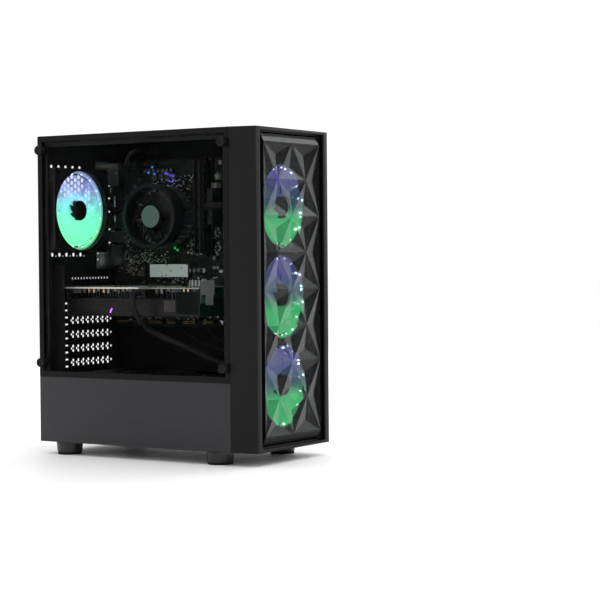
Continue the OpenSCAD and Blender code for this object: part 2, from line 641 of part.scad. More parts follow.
// Motherboard
module motherboard() place() color("#17181a")
    sheet_x(x_face, board_t) difference() {
        area([y_board_rear - board_w, z_board_top - board_h], [y_board_rear, z_board_top]);
        for (p = board_holes()) translate(p) circle(1.6);
    }
module board_heatsink() place() color("#55585c") {
    at = [y_board_rear - 182, z_board_top - 214];
    box([x_face - 4, at.x, at.y], [x_face, at.x + 38, at.y + 38]);
    for (i = [0 : 6])
        box([x_face - 9, at.x + 0.5 + 6 * i, at.y], [x_face - 4, at.x + 1.5 + 6 * i, at.y + 38]);
}
port_shells = [[3, 32, 14], [37, 16, 30], [57, 16, 30], [77, 22, 27], [103, 16, 16], [124, 30, 32]];
module rear_ports() place() color("#7c8084") {
    depth = 22;
    wall = 3;
    for (p = port_shells) let (z1 = z_board_top - p.x, z0 = z1 - p.y) difference() {
        box([x_face - p.z, y_in_rear - depth, z0], [x_face, y_rear, z1]);
        box([x_face - p.z + wall, y_in_rear - depth + 5, z0 + wall], [x_face - wall, y_rear + 1, z1 - wall]);
    }
    sheet_y(y_in_rear, sheet) difference() {
        area([x_face + 3.5 - io_h, z_board_top - io_l], [x_face + 3.5, z_board_top]);
        for (p = port_shells) let (z = z_board_top - p.x)
            area([x_face - p.z + 1, z - p.y + 1], [x_face - 1, z - 1]);
        for (i = [0 : len(port_shells) - 2]) let (p = port_shells[i], z = z_board_top - p.x - p.y - 1.9)
            area([x_face - 18, z], [x_face - 7, z + 1.6]);
        for (i = [0 : 15]) translate([x_face - 37, z_board_top - 10 - 9 * i]) circle(1.4, $fn = 16);
    }
}
module board_sockets() place() color("#1c1d1f") {
    for (y = memory_y) difference() {
        box([x_face - 6, y - 3.2, memory_z - 71], [x_face, y + 3.2, memory_z + 71]);
        box([x_face - 7, y - 0.75, memory_z - 66.9], [x_face - 1, y + 0.75, memory_z + 66.9]);
    }
    for (k = [0, 2]) let (z = card_z + board_t / 2 - slot_pitch * k) difference() {
        box([x_face - 11, y_board_rear - 135, z - 3.5], [x_face, y_board_rear - 45, z + 3.5]);
        box([x_face - 12, y_board_rear - 133, z - 1], [x_face - 1, y_board_rear - 47, z + 1]);
    }
    box([x_face - 12, y_board_rear - board_w + 3, z_board_top - 96],
        [x_face, y_board_rear - board_w + 12, z_board_top - 44]);
    box([x_face - 12, y_board_rear - 62, z_board_top - 14], [x_face, y_board_rear - 44, z_board_top - 4]);
    box([x_face - 6, y_rear - 66, drive_z() - 11], [x_face, y_rear - 61, drive_z() + 11]);
    for (z = [0, 18]) box([x_face - 9, y_board_rear - board_w - 2, z_board_top - 205 + z],
        [x_face, y_board_rear - board_w + 13, z_board_top - 191 + z]);
    box([x_face - 6, cooler_y - 20, cooler_z - 20], [x_face, cooler_y + 20, cooler_z + 20]);
}
module memory_modules() place() color("#121314")
    for (y = memory_y) {
        box([x_face - 34, y - 0.6, memory_z - 66.7], [x_face - 1.2, y + 0.6, memory_z + 66.7]);
        for (i = [0 : 7]) for (s = [-1, 1])
            box([x_face - 26, s > 0 ? y + 0.6 : y - 1.6, memory_z - 62 + 16 * i],
                [x_face - 14, s > 0 ? y + 1.6 : y - 0.6, memory_z - 51 + 16 * i]);
    }
function drive_z() = z_board_top - 162;
module solid_state_drive() place() color("#e8ebec") {
    box([x_face - 4, y_rear - 146, drive_z() - 11], [x_face - 3.2, y_rear - 66, drive_z() + 11]);
    box([x_face - 5.4, y_rear - 142, drive_z() - 10], [x_face - 4, y_rear - 72, drive_z() + 10]);
    along_x([x_face - 3.2, y_rear - 144, drive_z()], 3.2, 2);
}

// Processor cooler
module cooler_place() { translate([x_face - 6, cooler_y, cooler_z]) rotate([0, -90, 0]) children(); }
cooler_sink_h = 34;
cooler_fan_t = 24;
module cooler_heatsink() place() color("#8c8f94") cooler_place() {
    fins = 30;
    linear_extrude(cooler_sink_h) {
        circle(17);
        for (i = [0 : fins - 1]) rotate(360 * i / fins) translate([15, -0.7]) square([cooler_r - 19, 1.4]);
    }
    cylinder(h = 2, r = cooler_r - 8);
}
module cooler_fan_frame() place() color("#2b2c30") cooler_place() translate([0, 0, cooler_sink_h]) {
    difference() {
        cylinder(h = cooler_fan_t, r = cooler_r, $fn = 96);
        translate([0, 0, -1]) cylinder(h = cooler_fan_t + 2, r = cooler_r - 7, $fn = 96);
    }
    for (a = [0 : 90 : 270]) rotate(a) box([10, -2, 0], [cooler_r - 6, 2, 2.5]);
    cylinder(h = 2.5, r = 14);
    cylinder(h = 17, r = shaft_r);
}
module cooler_rotor() place() color("#35363b") cooler_place()
    translate([0, 0, cooler_sink_h + 19]) rotate([180, 0, 0]) fan_rotor(17, 15.5, cooler_r - 10, 7, 7);

// Graphics card
module card_bracket() place() color("#b5b9bc") {
    sheet_y(y_in_rear - sheet, sheet) difference() {
        area([slot_x0 - 2, card_z - 5.5 - 1.5 * slot_pitch], [x_face - 1, card_z + 3.2]);
        for (i = [0 : 5]) translate([slot_x0 + 8 + 14 * i, card_z - 7 - slot_pitch]) square([10, 6]);
    }
    box([card_x0, card_y0 - 1.5, card_z - 20], [card_x0 + 26, card_y0, card_z + 11]);
    box([card_x0, card_y0 - 24, card_z - 8], [card_x0 + 1.5, card_y0 - 1.5, card_z + 11]);
    box([card_x0, card_y0 - 22, card_z - 22], [card_x0 + 1.5, card_y0 - 9, card_z - 8]);
}
module card_board() place() color("#1a1b1c") {
    box([card_x0, card_y0, card_z], [card_x1, y_in_rear - sheet, card_z + board_t]);
    box([card_x1, y_board_rear - 132.6, card_z], [x_face - 1.2, y_board_rear - 47.4, card_z + board_t]);
    box([card_x0 - 2, card_y0 + 84, card_z - 12], [card_x0 + 12, card_y0 + 104, card_z]);
}
module card_heatsink() place() color("#9a9da1") {
    fin_step = 5;
    y0 = card_y0 + 12;
    y1 = y_in_rear - 16;
    sheet_x(card_x0 + 14, card_x1 - card_x0 - 22) {
        area([y0, card_z - 5], [y1, card_z - 2]);
        for (y = [y0 : fin_step : y1 - 1]) area([y, card_z - 22], [y + 1, card_z - 4.5]);
    }
    box([0, card_y0 + 80, card_z - 2], [40, card_y0 + 120, card_z]);
    for (y = [card_fan_rear_y, card_fan_front_y]) translate([(card_x0 + card_x1) / 2, y, shroud_z0 + 4]) {
        translate([0, 0, card_drop - 26]) cylinder(h = 4.5, r = 15);
        cylinder(h = card_drop - 22, r = shaft_r);
    }
}
module card_shroud() place() color("#26272b") {
    for (x = [card_x0 + 1, card_x1 - 9], y = [card_y0 + 2, y_in_rear - 14])
        box([x, y, shroud_z0 + 1], [x + 6, y + 6, card_z]);
    difference() {
        box([card_x0 + 1, card_y0 + 2, shroud_z0], [card_x1 - 3, y_in_rear - 8, card_z - 14]);
        box([card_x0 + 3, card_y0 + 4, shroud_z0 + 2], [card_x1 - 5, y_in_rear - 10, card_z]);
        for (y = [card_fan_rear_y, card_fan_front_y])
            translate([(card_x0 + card_x1) / 2, y, shroud_z0 - 1]) cylinder(h = 5, r = card_fan_r, $fn = 72);
    }
}
module card_rotor(y) place() color("#18191b")
    translate([(card_x0 + card_x1) / 2, y, shroud_z0 + 0.6]) fan_rotor(16, 11.5, card_fan_r - 2, 11, 5);

module slot_covers() place() color("#27282b")
    for (k = [0, 3, 4, 5, 6]) let (z = first_slot_z - slot_pitch * k)
    sheet_y(y_in_rear - sheet, sheet) difference() {
        area([slot_x0 - 2, z - 9.2], [x_face - 1, z + 9.2]);
        if (k == 0) dot_row(-23.5, 6.7, 13, z, 2);
        if (k > 0) {
            dot_row(-29.6 + 5.7, 11.4, 8, z + 3.1, 2.3);
            dot_row(-29.6 + 5.7, 11.4, 8, z - 3.1, 2.3);
            dot_row(-29.6 + 2, 11.4, 9, z, 1.9);
        }
    }

// Power supply
module psu_case() place() color("#3a3b3e") {
    wall = 1.5;
    x1 = psu_x0 + psu_w;
    difference() {
        box([psu_x0, psu_y0, psu_z0], [x1, y_in_rear, psu_z1]);
        box([psu_x0 + wall, psu_y0 + wall, psu_z0 + wall], [x1 - wall, y_in_rear - wall, psu_z1 - wall]);
        translate([psu_x, psu_fan_y, psu_z0 - 1]) cylinder(h = 4, r = psu_fan_r, $fn = 72);
        box([inlet_x - 15.1, y_in_rear - 4, inlet_z - 11.6], [inlet_x + 15.1, y_in_rear + 1, inlet_z + 11.6]);
        box([inlet_x - 10.4, y_in_rear - 4, switch_z - 7], [inlet_x + 10.4, y_in_rear + 1, switch_z + 7]);
        for (i = [0 : 8], j = [0 : 6])
            translate([psu_x0 + 57 + 9 * i + (j % 2) * 4.5, y_in_rear - 4, psu_z0 + 16 + 8.6 * j])
                rotate([-90, 0, 0]) cylinder(h = 6, r = 3.2, $fn = 6);
        for (x = psu_hole_x, z = psu_hole_z) along_y([psu_x0 + x, y_in_rear - 4, psu_z0 + z], 6, 1.95);
    }
    translate([psu_x, psu_fan_y, psu_z0]) {
        for (r = [22, 34, 46]) difference() {
            cylinder(h = wall, r = r + 0.9);
            translate([0, 0, -1]) cylinder(h = 4, r = r - 0.9);
        }
        for (a = [45 : 90 : 315]) rotate(a) box([0, -1.5, 0], [psu_fan_r + 1, 1.5, wall]);
        cylinder(h = wall, r = 16);
        cylinder(h = 18, r = shaft_r);
    }
    for (z = [switch_z - 9, switch_z + 7])
        box([inlet_x - 3, switch_pin_y - 2, z], [inlet_x + 3, y_in_rear - 0.5, z + 2]);
    translate([inlet_x, switch_pin_y, switch_z]) cylinder(h = 16, r = switch_pin_r, center = true);
}
module psu_rotor() place() color("#18191b") translate([psu_x, psu_fan_y, psu_z0 + 20]) rotate([180, 0, 0])
    fan_rotor(19, hub_h, psu_fan_r - 3, 9, 9);
module psu_inlet() place() color("#0f0f10") {
    difference() {
        box([inlet_x - 15.1, y_in_rear - 20, inlet_z - 11.6],
            [inlet_x + 15.1, y_rear - sheet, inlet_z + 11.6]);
        box([inlet_x - 12.2, y_in_rear - 17, inlet_z - 8.6], [inlet_x + 12.2, y_rear + 1, inlet_z + 8.6]);
    }
    for (p = [[-7, -2], [0, 2], [7, -2]])
        box([inlet_x + p.x - 1, y_in_rear - 18, inlet_z + p.y],
            [inlet_x + p.x + 1, y_in_rear - 3, inlet_z + p.y + 4]);
}
module psu_switch() place() color("#0f0f10")
    translate([inlet_x, switch_pin_y, switch_z]) difference() {
        box([-9.4, -2.5, -6.6], [9.4, 4.1, 6.6]);
        translate([0, 13.9, 0]) cylinder(h = 20, r = 11, center = true);
        cylinder(h = 20, r = switch_pin_r + running, center = true);
    }

module drive_cage() place() color("#232427") sheet_y(drive_y, drive.y - 20) {
    half = drive.x / 2 + sheet;
    difference() {
        area([drive_x - half, z_bottom + sheet], [drive_x + half, z_bottom + sheet + cage_h]);
        area([drive_x - half + sheet, z_bottom + 2 * sheet], [drive_x + half - sheet, z_bottom + sheet + 30]);
        area([drive_x - half + sheet, z_bottom + 31 + sheet], [drive_x + half - sheet, z_bottom + cage_h]);
    }
}
module hard_drive() place() color("#9fa3a6") {
    z0 = z_bottom + 31 + sheet;
    difference() {
        box([drive_x - drive.x / 2, drive_y, z0], [drive_x + drive.x / 2, drive_y + drive.y, z0 + drive.z]);
        box([drive_x - 20, drive_y + drive.y - 4, z0 + 2], [drive_x + 36, drive_y + drive.y + 1, z0 + 8]);
    }
    translate([drive_x, drive_y + 90, z0 + drive.z - 0.1]) cylinder(h = 0.7, r = 38);
}

// Cables, held inside the case all the way
y_gate = y_board_rear - board_w - 17;
x_behind = x_tray + 7.2;
z_hub = z_bottom + sheet + cage_h + 14;
psu_out = [psu_y0, psu_z0 + 50];
main_route = [
    [46, psu_out.x, psu_out.y], [46, psu_out.x - 10, psu_out.y], [54, psu_out.x - 25, psu_out.y - 2],
    [70, psu_out.x - 41, psu_out.y - 6], [x_behind - 2, psu_out.x - 63, psu_out.y - 2],
    [x_behind, psu_out.x - 73, psu_out.y + 24], [x_behind, y_gate, z_board_top - 220],
    [x_behind, y_gate, z_board_top - 130], [x_behind - 1.2, y_gate, z_board_top - 96],
    [x_tray - 4.8, y_gate, z_board_top - 79], [x_face - 13, y_gate - 1, z_board_top - 73],
    [x_face - 28, y_gate + 3, z_board_top - 70], [x_face - 36, y_gate + 13, z_board_top - 70],
    [x_face - 34, y_gate + 23, z_board_top - 70], [x_face - 26, y_gate + 24.5, z_board_top - 70]];
y_processor = y_board_rear - 53;
processor_route = [
    [34.5, psu_out.x, psu_out.y + 8], [34.5, psu_out.x - 10, psu_out.y + 8],
    [50, psu_out.x - 19, psu_out.y + 14], [76, psu_out.x - 19, psu_out.y + 12],
    [x_behind + 0.5, psu_out.x - 9, psu_out.y + 38], [x_behind + 1, psu_out.x + 37, z_board_top - 180],
    [x_behind + 1, y_processor - 17, z_board_top - 80], [x_behind + 1, y_processor - 7, z_board_top - 10],
    [x_tray - 0.8, y_processor - 7, z_board_top + 13], [x_face - 9, y_processor - 5, z_board_top + 16],
    [x_face - 25, y_processor - 1, z_board_top + 10], [x_face - 35, y_processor, z_board_top - 1],
    [x_face - 34, y_processor, z_board_top - 8], [x_face - 26, y_processor, z_board_top - 9]];
card_plug = [card_y0 + 95, card_z - 6];
shroud_gate = [25, y_in_front + 22, shroud_top];
card_sag = [[-44, card_plug.x - 15, card_plug.y - 56], [24, shroud_gate.y + 2, shroud_gate.z + 4]];
card_route = [
    [-60, card_plug.x, card_plug.y], [-72, card_plug.x, card_plug.y - 2],
    [-76, card_plug.x - 2, card_plug.y - 18], [-66, card_plug.x - 7, card_plug.y - 38], card_sag[0],
    mid_way(card_sag, 0.3, 4), mid_way(card_sag, 0.6, 8), mid_way(card_sag, 0.85, 4), card_sag[1],
    shroud_gate + [0, -5, -6], shroud_gate + [2, 10, -15], shroud_gate + [7, 42, -17],
    [34, psu_out.x - 83, shroud_top - 17], [32, psu_out.x - 49, shroud_top - 20],
    [28, psu_out.x - 21, psu_out.y + 8], [26, psu_out.x - 9, psu_out.y], [26, psu_out.x, psu_out.y]];
lead_starts = [[82, 8], [40, 11], [6, 12]];
lead_sags = [[4, 0, -6], [0, -6, -12], [-2, -8, -18]];
function mid_way(ends, t, sag) = ends[0] + (ends[1] - ends[0]) * t - [0, 0, sag];
function lead_route(i) = let (
    start = [x_face, y_board_rear - board_w + lead_starts[i].x, z_board_top - board_h + lead_starts[i].y],
    end = [4 - 10 * i, drive_y + 20, z_hub],
    hang = [start + [-16, -4, -2], end + [4, 0, 18]])
    [start, start + [-9, 0, 0], mid_way(hang, 0.2, lead_sags[i].x), mid_way(hang, 0.5, lead_sags[i].y),
        mid_way(hang, 0.8, lead_sags[i].z), end + [2, 0, 22], end + [0, 0, 6], end];
module board_power_cables() place() color("#141416") {
    tube(main_route, 11, 4, 10);
    box([x_face - 26.2, y_board_rear - board_w + 3, z_board_top - 96],
        [x_face - 12, y_board_rear - board_w + 12, z_board_top - 44]);
    tube(processor_route, 7, 5, 8);
    box([x_face - 26.2, y_board_rear - 62, z_board_top - 14],
        [x_face - 12, y_board_rear - 44, z_board_top - 4]);
}
module card_power_cable() place() color("#141416") {
    tube(card_route, 8, 4, 10);
    box([-60, card_y0 + 85, card_z - 12], [card_x0 - 2, card_y0 + 103, card_z - 1]);
}
module thin_leads() place() color("#1b1b1d") 
    for (i = [0 : len(lead_starts) - 1]) tube(lead_route(i), 3, 4, 8);
module fan_hub() place() color("#222326")
    box([-54, drive_y + 16, z_bottom + sheet + cage_h], [14, drive_y + 62, z_hub]);

base_pan();
top_panel();
rear_panel();
front_wall();
board_tray();
window_frame();
psu_shroud();
lower_side_panel();
right_side_panel();
side_screw_upper();
side_screw_lower();
front_bezel();
bezel_mesh();
facet_panel();
glass_panel();
glass_bushes();
glass_screw(0, 0);  // glass_screw_rear_top
glass_screw(0, 1);  // glass_screw_rear_low
glass_screw(1, 0);  // glass_screw_front_top
glass_screw(1, 1);  // glass_screw_front_low
feet();
foot_pads();
power_button();
reset_button();
front_ports();
psu_filter();
front_fan_frames();
front_rotor(0);  // front_rotor_top
front_rotor(1);  // front_rotor_middle
front_rotor(2);  // front_rotor_low
rear_fan_frame();
rear_rotor();
light_rings();
screws();
motherboard();
board_heatsink();
rear_ports();
board_sockets();
memory_modules();
solid_state_drive();
cooler_heatsink();
cooler_fan_frame();
cooler_rotor();
card_bracket();
card_board();
card_heatsink();
card_shroud();
card_rotor(card_fan_rear_y);  // card_rotor_rear
card_rotor(card_fan_front_y);  // card_rotor_front
slot_covers();
psu_case();
psu_rotor();
psu_inlet();
psu_switch();
drive_cage();
hard_drive();
fan_hub();
board_power_cables();
card_power_cable();
thin_leads();
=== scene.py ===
"""Finishes and fine parts of a desktop computer tower, built round its working frame.

Lengths in the case's own lists are millimetres, as on its drawing; at() turns them into metres.
"""
import math
import random
from functools import partial

import bpy
from mathutils import Matrix, Vector


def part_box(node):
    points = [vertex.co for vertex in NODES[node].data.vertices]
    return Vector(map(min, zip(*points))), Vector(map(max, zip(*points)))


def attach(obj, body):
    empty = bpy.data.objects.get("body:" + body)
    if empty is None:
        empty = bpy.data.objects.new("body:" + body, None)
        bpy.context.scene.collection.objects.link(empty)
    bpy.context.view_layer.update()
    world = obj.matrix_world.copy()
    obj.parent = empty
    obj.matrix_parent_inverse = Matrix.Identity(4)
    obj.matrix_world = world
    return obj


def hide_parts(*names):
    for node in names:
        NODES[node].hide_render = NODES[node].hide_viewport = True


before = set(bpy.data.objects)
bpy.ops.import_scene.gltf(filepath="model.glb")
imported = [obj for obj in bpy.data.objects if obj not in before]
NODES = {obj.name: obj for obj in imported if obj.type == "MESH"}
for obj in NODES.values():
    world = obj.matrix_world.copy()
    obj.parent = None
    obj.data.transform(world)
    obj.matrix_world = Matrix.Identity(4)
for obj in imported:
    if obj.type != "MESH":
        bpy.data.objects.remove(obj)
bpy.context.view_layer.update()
MM = 0.001
SHIFT = Vector((4.5, -4.5, 0))
TAU, QUARTER = 2 * math.pi, math.pi / 2

# Places on the case, in millimetres
FACE_X = 73.2
FRONT_FANS = (("top", "front_fan_a", 346), ("middle", "front_fan_b", 224), ("low", "front_fan_c", 102))
REAR_FAN = (-29.8, 158, 346)
COOLER_Y, COOLER_Z = 69, 336.5
CARD_FRONT, CARD_Z, CARD_EDGE = -62, 234.08, -47


def at(x, y, z):
    return (Vector((x, y, z)) + SHIFT) * MM


def towards(direction, place):
    """The matrix that lays a part built along +Z on the given direction and place."""
    return Matrix.Translation(place) @ Vector(direction).to_track_quat("Z", "Y").to_matrix().to_4x4()


def off_face(spots, out=0):
    """Stands a part built along +Z on the board's face, or a little out from it, at each (y, z)."""
    return [towards((-1, 0, 0), at(FACE_X - out, y, z)) for y, z in spots]


def turned(angle, axis):
    return Matrix.Rotation(angle, 4, axis)


def show(thing):
    bpy.context.scene.collection.objects.link(thing)


# ---- camera and room
def aim_camera():
    """A long lens from the glass side, a little in front of and hardly above the tower's middle."""
    data = bpy.data.cameras.new("studio camera")
    data.lens, data.sensor_width, data.clip_end = 108.39, 36, 60
    camera = bpy.data.objects.new("studio camera", data)
    show(camera)
    camera.location = (-2.0525, -1.5135, 0.283)
    camera.rotation_euler = (1.5445459, 0.0075482, -1.0022677)
    bpy.context.scene.camera = camera


def light_room():
    world = bpy.data.worlds.new("white room")
    bpy.context.scene.world = world
    world.use_nodes = True
    sky = world.node_tree.nodes["Background"]
    sky.inputs["Color"].default_value = (1, 1, 1, 1)
    sky.inputs["Strength"].default_value = 1.06
    bpy.context.scene.view_settings.view_transform = "Standard"
    for name, place, target, width, height, power in (
            ("overhead box", (0, -0.2, 2.6), (0, 0, 0.2), 2.4, 2.4, 24),
            ("right high box", (2.2, -0.7, 1.5), (0, 0, 0.25), 1.6, 1.2, 16),
            ("right box", (2.6, 0.15, 0.6), (0, 0, 0.25), 1.5, 1.2, 14)):
        light = bpy.data.lights.new(name, "AREA")
        light.shape = "RECTANGLE"
        light.size, light.size_y, light.energy = width, height, power
        lamp = bpy.data.objects.new(name, light)
        show(lamp)
        lamp.location = place
        lamp.rotation_mode = "QUATERNION"
        lamp.rotation_quaternion = (Vector(target) - Vector(place)).to_track_quat("-Z", "Y")


# ---- modelling by hand
def deselect():
    bpy.ops.object.select_all(action="DESELECT")


def only(piece):
    """The one piece that the next operator works on."""
    deselect()
    piece.select_set(True)
    bpy.context.view_layer.objects.active = piece


def edit_all(piece):
    """Goes into edit mode with the whole piece selected."""
    only(piece)
    bpy.ops.object.mode_set(mode="EDIT")
    bpy.ops.mesh.select_mode(type="VERT")
    bpy.ops.mesh.select_all(action="SELECT")


def leave():
    bpy.ops.object.mode_set(mode="OBJECT")


def smooth(angle):
    bpy.ops.object.shade_smooth_by_angle(angle=math.radians(angle))


def apply(piece, kind, **settings):
    """Adds a modifier with its settings and makes it final."""
    only(piece)
    modifier = piece.modifiers.new(kind, kind)
    for key, value in settings.items():
        setattr(modifier, key, value)
    bpy.ops.object.modifier_apply(modifier=modifier.name)


def settle(name):
    """Puts the new primitive's place and turn into its mesh."""
    piece = bpy.context.object
    only(piece)
    bpy.ops.object.transform_apply(location=True, rotation=True, scale=True)
    piece.name = piece.data.name = name
    return piece


def block(name, low, high):
    low, high = Vector(low), Vector(high)
    deselect()
    bpy.ops.mesh.primitive_cube_add(size=1, location=(low + high) / 2, scale=high - low)
    return settle(name)


def case_block(name, low, high):
    return block(name, at(*low), at(*high))


def on_board(name, y0, z0, y1, z1, low, high):
    """A block on the board's face: its rectangle, and the heights of its underside and top above the board."""
    return case_block(name, (FACE_X - high, y0, z0), (FACE_X - low, y1, z1))


def drum(name, middle, radius, depth, sides):
    deselect()
    bpy.ops.mesh.primitive_cylinder_add(vertices=sides, radius=radius, depth=depth, location=(0, 0, middle))
    return settle(name)


def pick(piece, rule):
    """Goes into edit mode with the faces selected whose middle and normal pass the rule."""
    edit_all(piece)
    bpy.ops.mesh.select_mode(type="FACE")
    bpy.ops.mesh.select_all(action="DESELECT")
    leave()
    for face in piece.data.polygons:
        face.select = rule(face.center, face.normal)
    bpy.ops.object.mode_set(mode="EDIT")


def facing_up(middle, normal):
    return normal.z > 0.9


def facing_glass(middle, normal):
    return normal.x < -0.9


def sink(piece, rule, border, depth):
    """Insets the picked faces and pushes them in along their normal."""
    pick(piece, rule)
    bpy.ops.mesh.inset(thickness=border, depth=0)
    bpy.ops.mesh.inset(thickness=border * 0.08, depth=-depth)
    leave()
    return piece


def ease(piece, width, segments=1, angle=32):
    """Rounds the sharp edges and shades what is left smoothly."""
    apply(piece, "BEVEL", width=width, segments=segments, limit_method="ANGLE", angle_limit=math.radians(angle))
    smooth(angle + 8)
    return piece


def join(name, pieces):
    if len(pieces) > 1:
        deselect()
        for piece in pieces:
            piece.select_set(True)
        bpy.context.view_layer.objects.active = pieces[0]
        bpy.ops.object.join()
    pieces[0].name = pieces[0].data.name = name
    return pieces[0]


def copies(name, pattern, moves):
    """Copies of a pattern piece, one for each matrix or vector, joined; the pattern itself goes."""
    made = []
    for move in moves:
        twin = pattern.copy()
        twin.data = pattern.data.copy()
        twin.data.transform(move if isinstance(move, Matrix) else Matrix.Translation(move))
        show(twin)
        made.append(twin)
    bpy.data.objects.remove(pattern)
    return join(name, made)


def add_mesh(name, points, lines=(), faces=()):
    mesh = bpy.data.meshes.new(name)
    mesh.from_pydata(points, lines, faces)
    piece = bpy.data.objects.new(name, mesh)
    show(piece)
    return piece


def lathe(name, profile, centre=(0, 0, 0), axis="Z", steps=48):
    """Spins a profile of (radius, height) in metres; height runs along the axis."""
    piece = add_mesh(name, [(r, 0, h) for r, h in profile], [(i, i + 1) for i in range(len(profile) - 1)])
    edit_all(piece)
    bpy.ops.mesh.spin(steps=steps, angle=TAU, center=(0, 0, 0), axis=(0, 0, 1))
    bpy.ops.mesh.select_all(action="SELECT")
    bpy.ops.mesh.remove_doubles(threshold=1e-6)
    bpy.ops.mesh.normals_make_consistent(inside=False)
    leave()
    smooth(40)
    turn = {"Z": Matrix(), "Y": turned(-QUARTER, "X"), "-X": turned(-QUARTER, "Y")}[axis]
    piece.data.transform(Matrix.Translation(centre) @ turn)
    return piece


def from_frame(part, width, segments=1, angle=32):
    """A merged copy of a frame part with its edges eased, which stands for it."""
    source = NODES[part]
    piece = source.copy()
    piece.data = source.data.copy()
    piece.parent = None
    for key in list(piece.keys()):
        del piece[key]
    show(piece)
    piece.name = piece.data.name = part + "_finished"
    edit_all(piece)
    bpy.ops.mesh.remove_doubles(threshold=2e-6)
    bpy.ops.mesh.dissolve_limited(angle_limit=math.radians(0.6))
    leave()
    return ease(piece, width, segments, angle)


def fit(piece, slot, finish, *parts, body="chassis"):
    """Gives a finished piece its finish by name or itself, hides the frame parts it stands for, and gives it its body;
    slot is not used.
    """
    piece.data.materials.clear()
    piece.data.materials.append(FINISH[finish] if isinstance(finish, str) else finish)
    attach(piece, body)
    if parts:
        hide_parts(*parts)
    return piece


def refine(*rows):
    """Eased copies of frame parts: part, easing width and segments, slot, finish, and body if not the chassis."""
    for part, width, segments, slot, finish, *body in rows:
        fit(from_frame(part, width, segments), slot, finish, part, body=body[0] if body else "chassis")


def paint(finish, *parts):
    """Frame parts that stay get their finish."""
    for part in parts:
        slots = NODES[part].material_slots
        for place in slots:
            place.material = FINISH[finish]
        if not slots:
            NODES[part].data.materials.append(FINISH[finish])


# ---- nodes
def plug_in(end, label, value):
    """Links a socket to a node's input, or sets the input's own value."""
    if isinstance(value, bpy.types.NodeSocket):
        end.id_data.links.new(value, end.inputs[label])
    else:
        end.inputs[label].default_value = value


def feed(end, **values):
    """Fills inputs by name, with _ for a space."""
    for key, value in values.items():
        plug_in(end, key.replace("_", " "), value)


def node(tree, kind, inputs=(), **settings):
    made = tree.nodes.new("ShaderNode" + kind)
    for key, value in settings.items():
        setattr(made, key, value)
    for key, value in dict(inputs).items():
        plug_in(made, key, value)
    return made


def tree_of(*values):
    """The tree that the first socket among the values is in."""
    return next(value.id_data for value in values if isinstance(value, bpy.types.NodeSocket))


def maths(operation, *values, clamp=False):
    return node(tree_of(*values), "Math", enumerate(values), operation=operation, use_clamp=clamp).outputs[0]


times, plus, minus = partial(maths, "MULTIPLY"), partial(maths, "ADD"), partial(maths, "SUBTRACT")
above, below = partial(maths, "GREATER_THAN"), partial(maths, "LESS_THAN")


def blend(share, first, second):
    """A colour between two colours or sockets."""
    mixed = node(tree_of(share, first, second), "Mix", data_type="RGBA")
    plug_in(mixed, 0, share)
    for index, value in ((6, first), (7, second)):
        plug_in(mixed, index, value if isinstance(value, bpy.types.NodeSocket) else (*value, 1))
    return mixed.outputs[2]


def coords(tree):
    return node(tree, "TexCoord").outputs["Object"]


def split(vector):
    return node(tree_of(vector), "SeparateXYZ", {0: vector}).outputs


def noise(place, scale, detail=2, roughness=0.5):
    return node(tree_of(place), "TexNoise", {"Vector": place, "Scale": scale, "Detail": detail,
            "Roughness": roughness}).outputs[0]


# ---- effects that several finishes share
def new_group(name, inputs, *outputs):
    """A group with its inputs, each a number or a kind of socket, and its outputs."""
    group = bpy.data.node_groups.new(name, "ShaderNodeTree")
    for label, value in inputs.items():
        kind = value if isinstance(value, str) else "Float"
        socket = group.interface.new_socket(name=label, in_out="INPUT", socket_type="NodeSocket" + kind)
        if kind == "Float":
            socket.default_value = value
    for label in outputs:
        kind = "Color" if label == "Colour" else "Float"
        group.interface.new_socket(name=label, in_out="OUTPUT", socket_type="NodeSocket" + kind)
    return group, group.nodes.new("NodeGroupInput").outputs, group.nodes.new("NodeGroupOutput")


def grain_group():
    """Fine moulded or sprayed grain, and slow cloudy variation."""
    group, given, out = new_group("Surface grain", {"Size": 0.0005, "Clouds": 0.05}, "Height", "Cloud", "Speck")
    place = coords(group)
    grain = noise(place, maths("DIVIDE", 1, given["Size"]), 3, 0.6)
    cloud = noise(place, maths("DIVIDE", 1, given["Clouds"]), 4, 0.55)
    feed(out, Height=grain, Cloud=cloud, Speck=above(grain, 0.68))
    return group


def wear_group():
    """Lighter edges where the finish has rubbed, broken up by noise."""
    group, given, out = new_group("Edge wear", {"Amount": 0.3}, "Mask")
    bend = node(group, "NewGeometry").outputs["Pointiness"]
    sharp = times(minus(bend, 0.52), 14, clamp=True)
    feed(out, Mask=times(times(sharp, noise(coords(group), 180, 3)), given["Amount"], clamp=True))
    return group


def dust_group():
    """Fine dust on faces that look up."""
    group, given, out = new_group("Dust film", {"Amount": 0.1}, "Mask")
    rise = split(node(group, "NewGeometry").outputs["Normal"])[2]
    up = times(minus(rise, 0.3), 1.4, clamp=True)
    feed(out, Mask=times(times(up, noise(coords(group), 420, 4)), given["Amount"], clamp=True))
    return group


def brush_group():
    """Long fine scratches along one axis, as on rolled or brushed metal."""
    group, given, out = new_group("Brushed lines", {"Stretch": "Vector"}, "Height")
    long = node(group, "VectorMath", {0: coords(group), 1: given["Stretch"]}, operation="MULTIPLY").outputs[0]
    feed(out, Height=noise(long, 1))
    return group


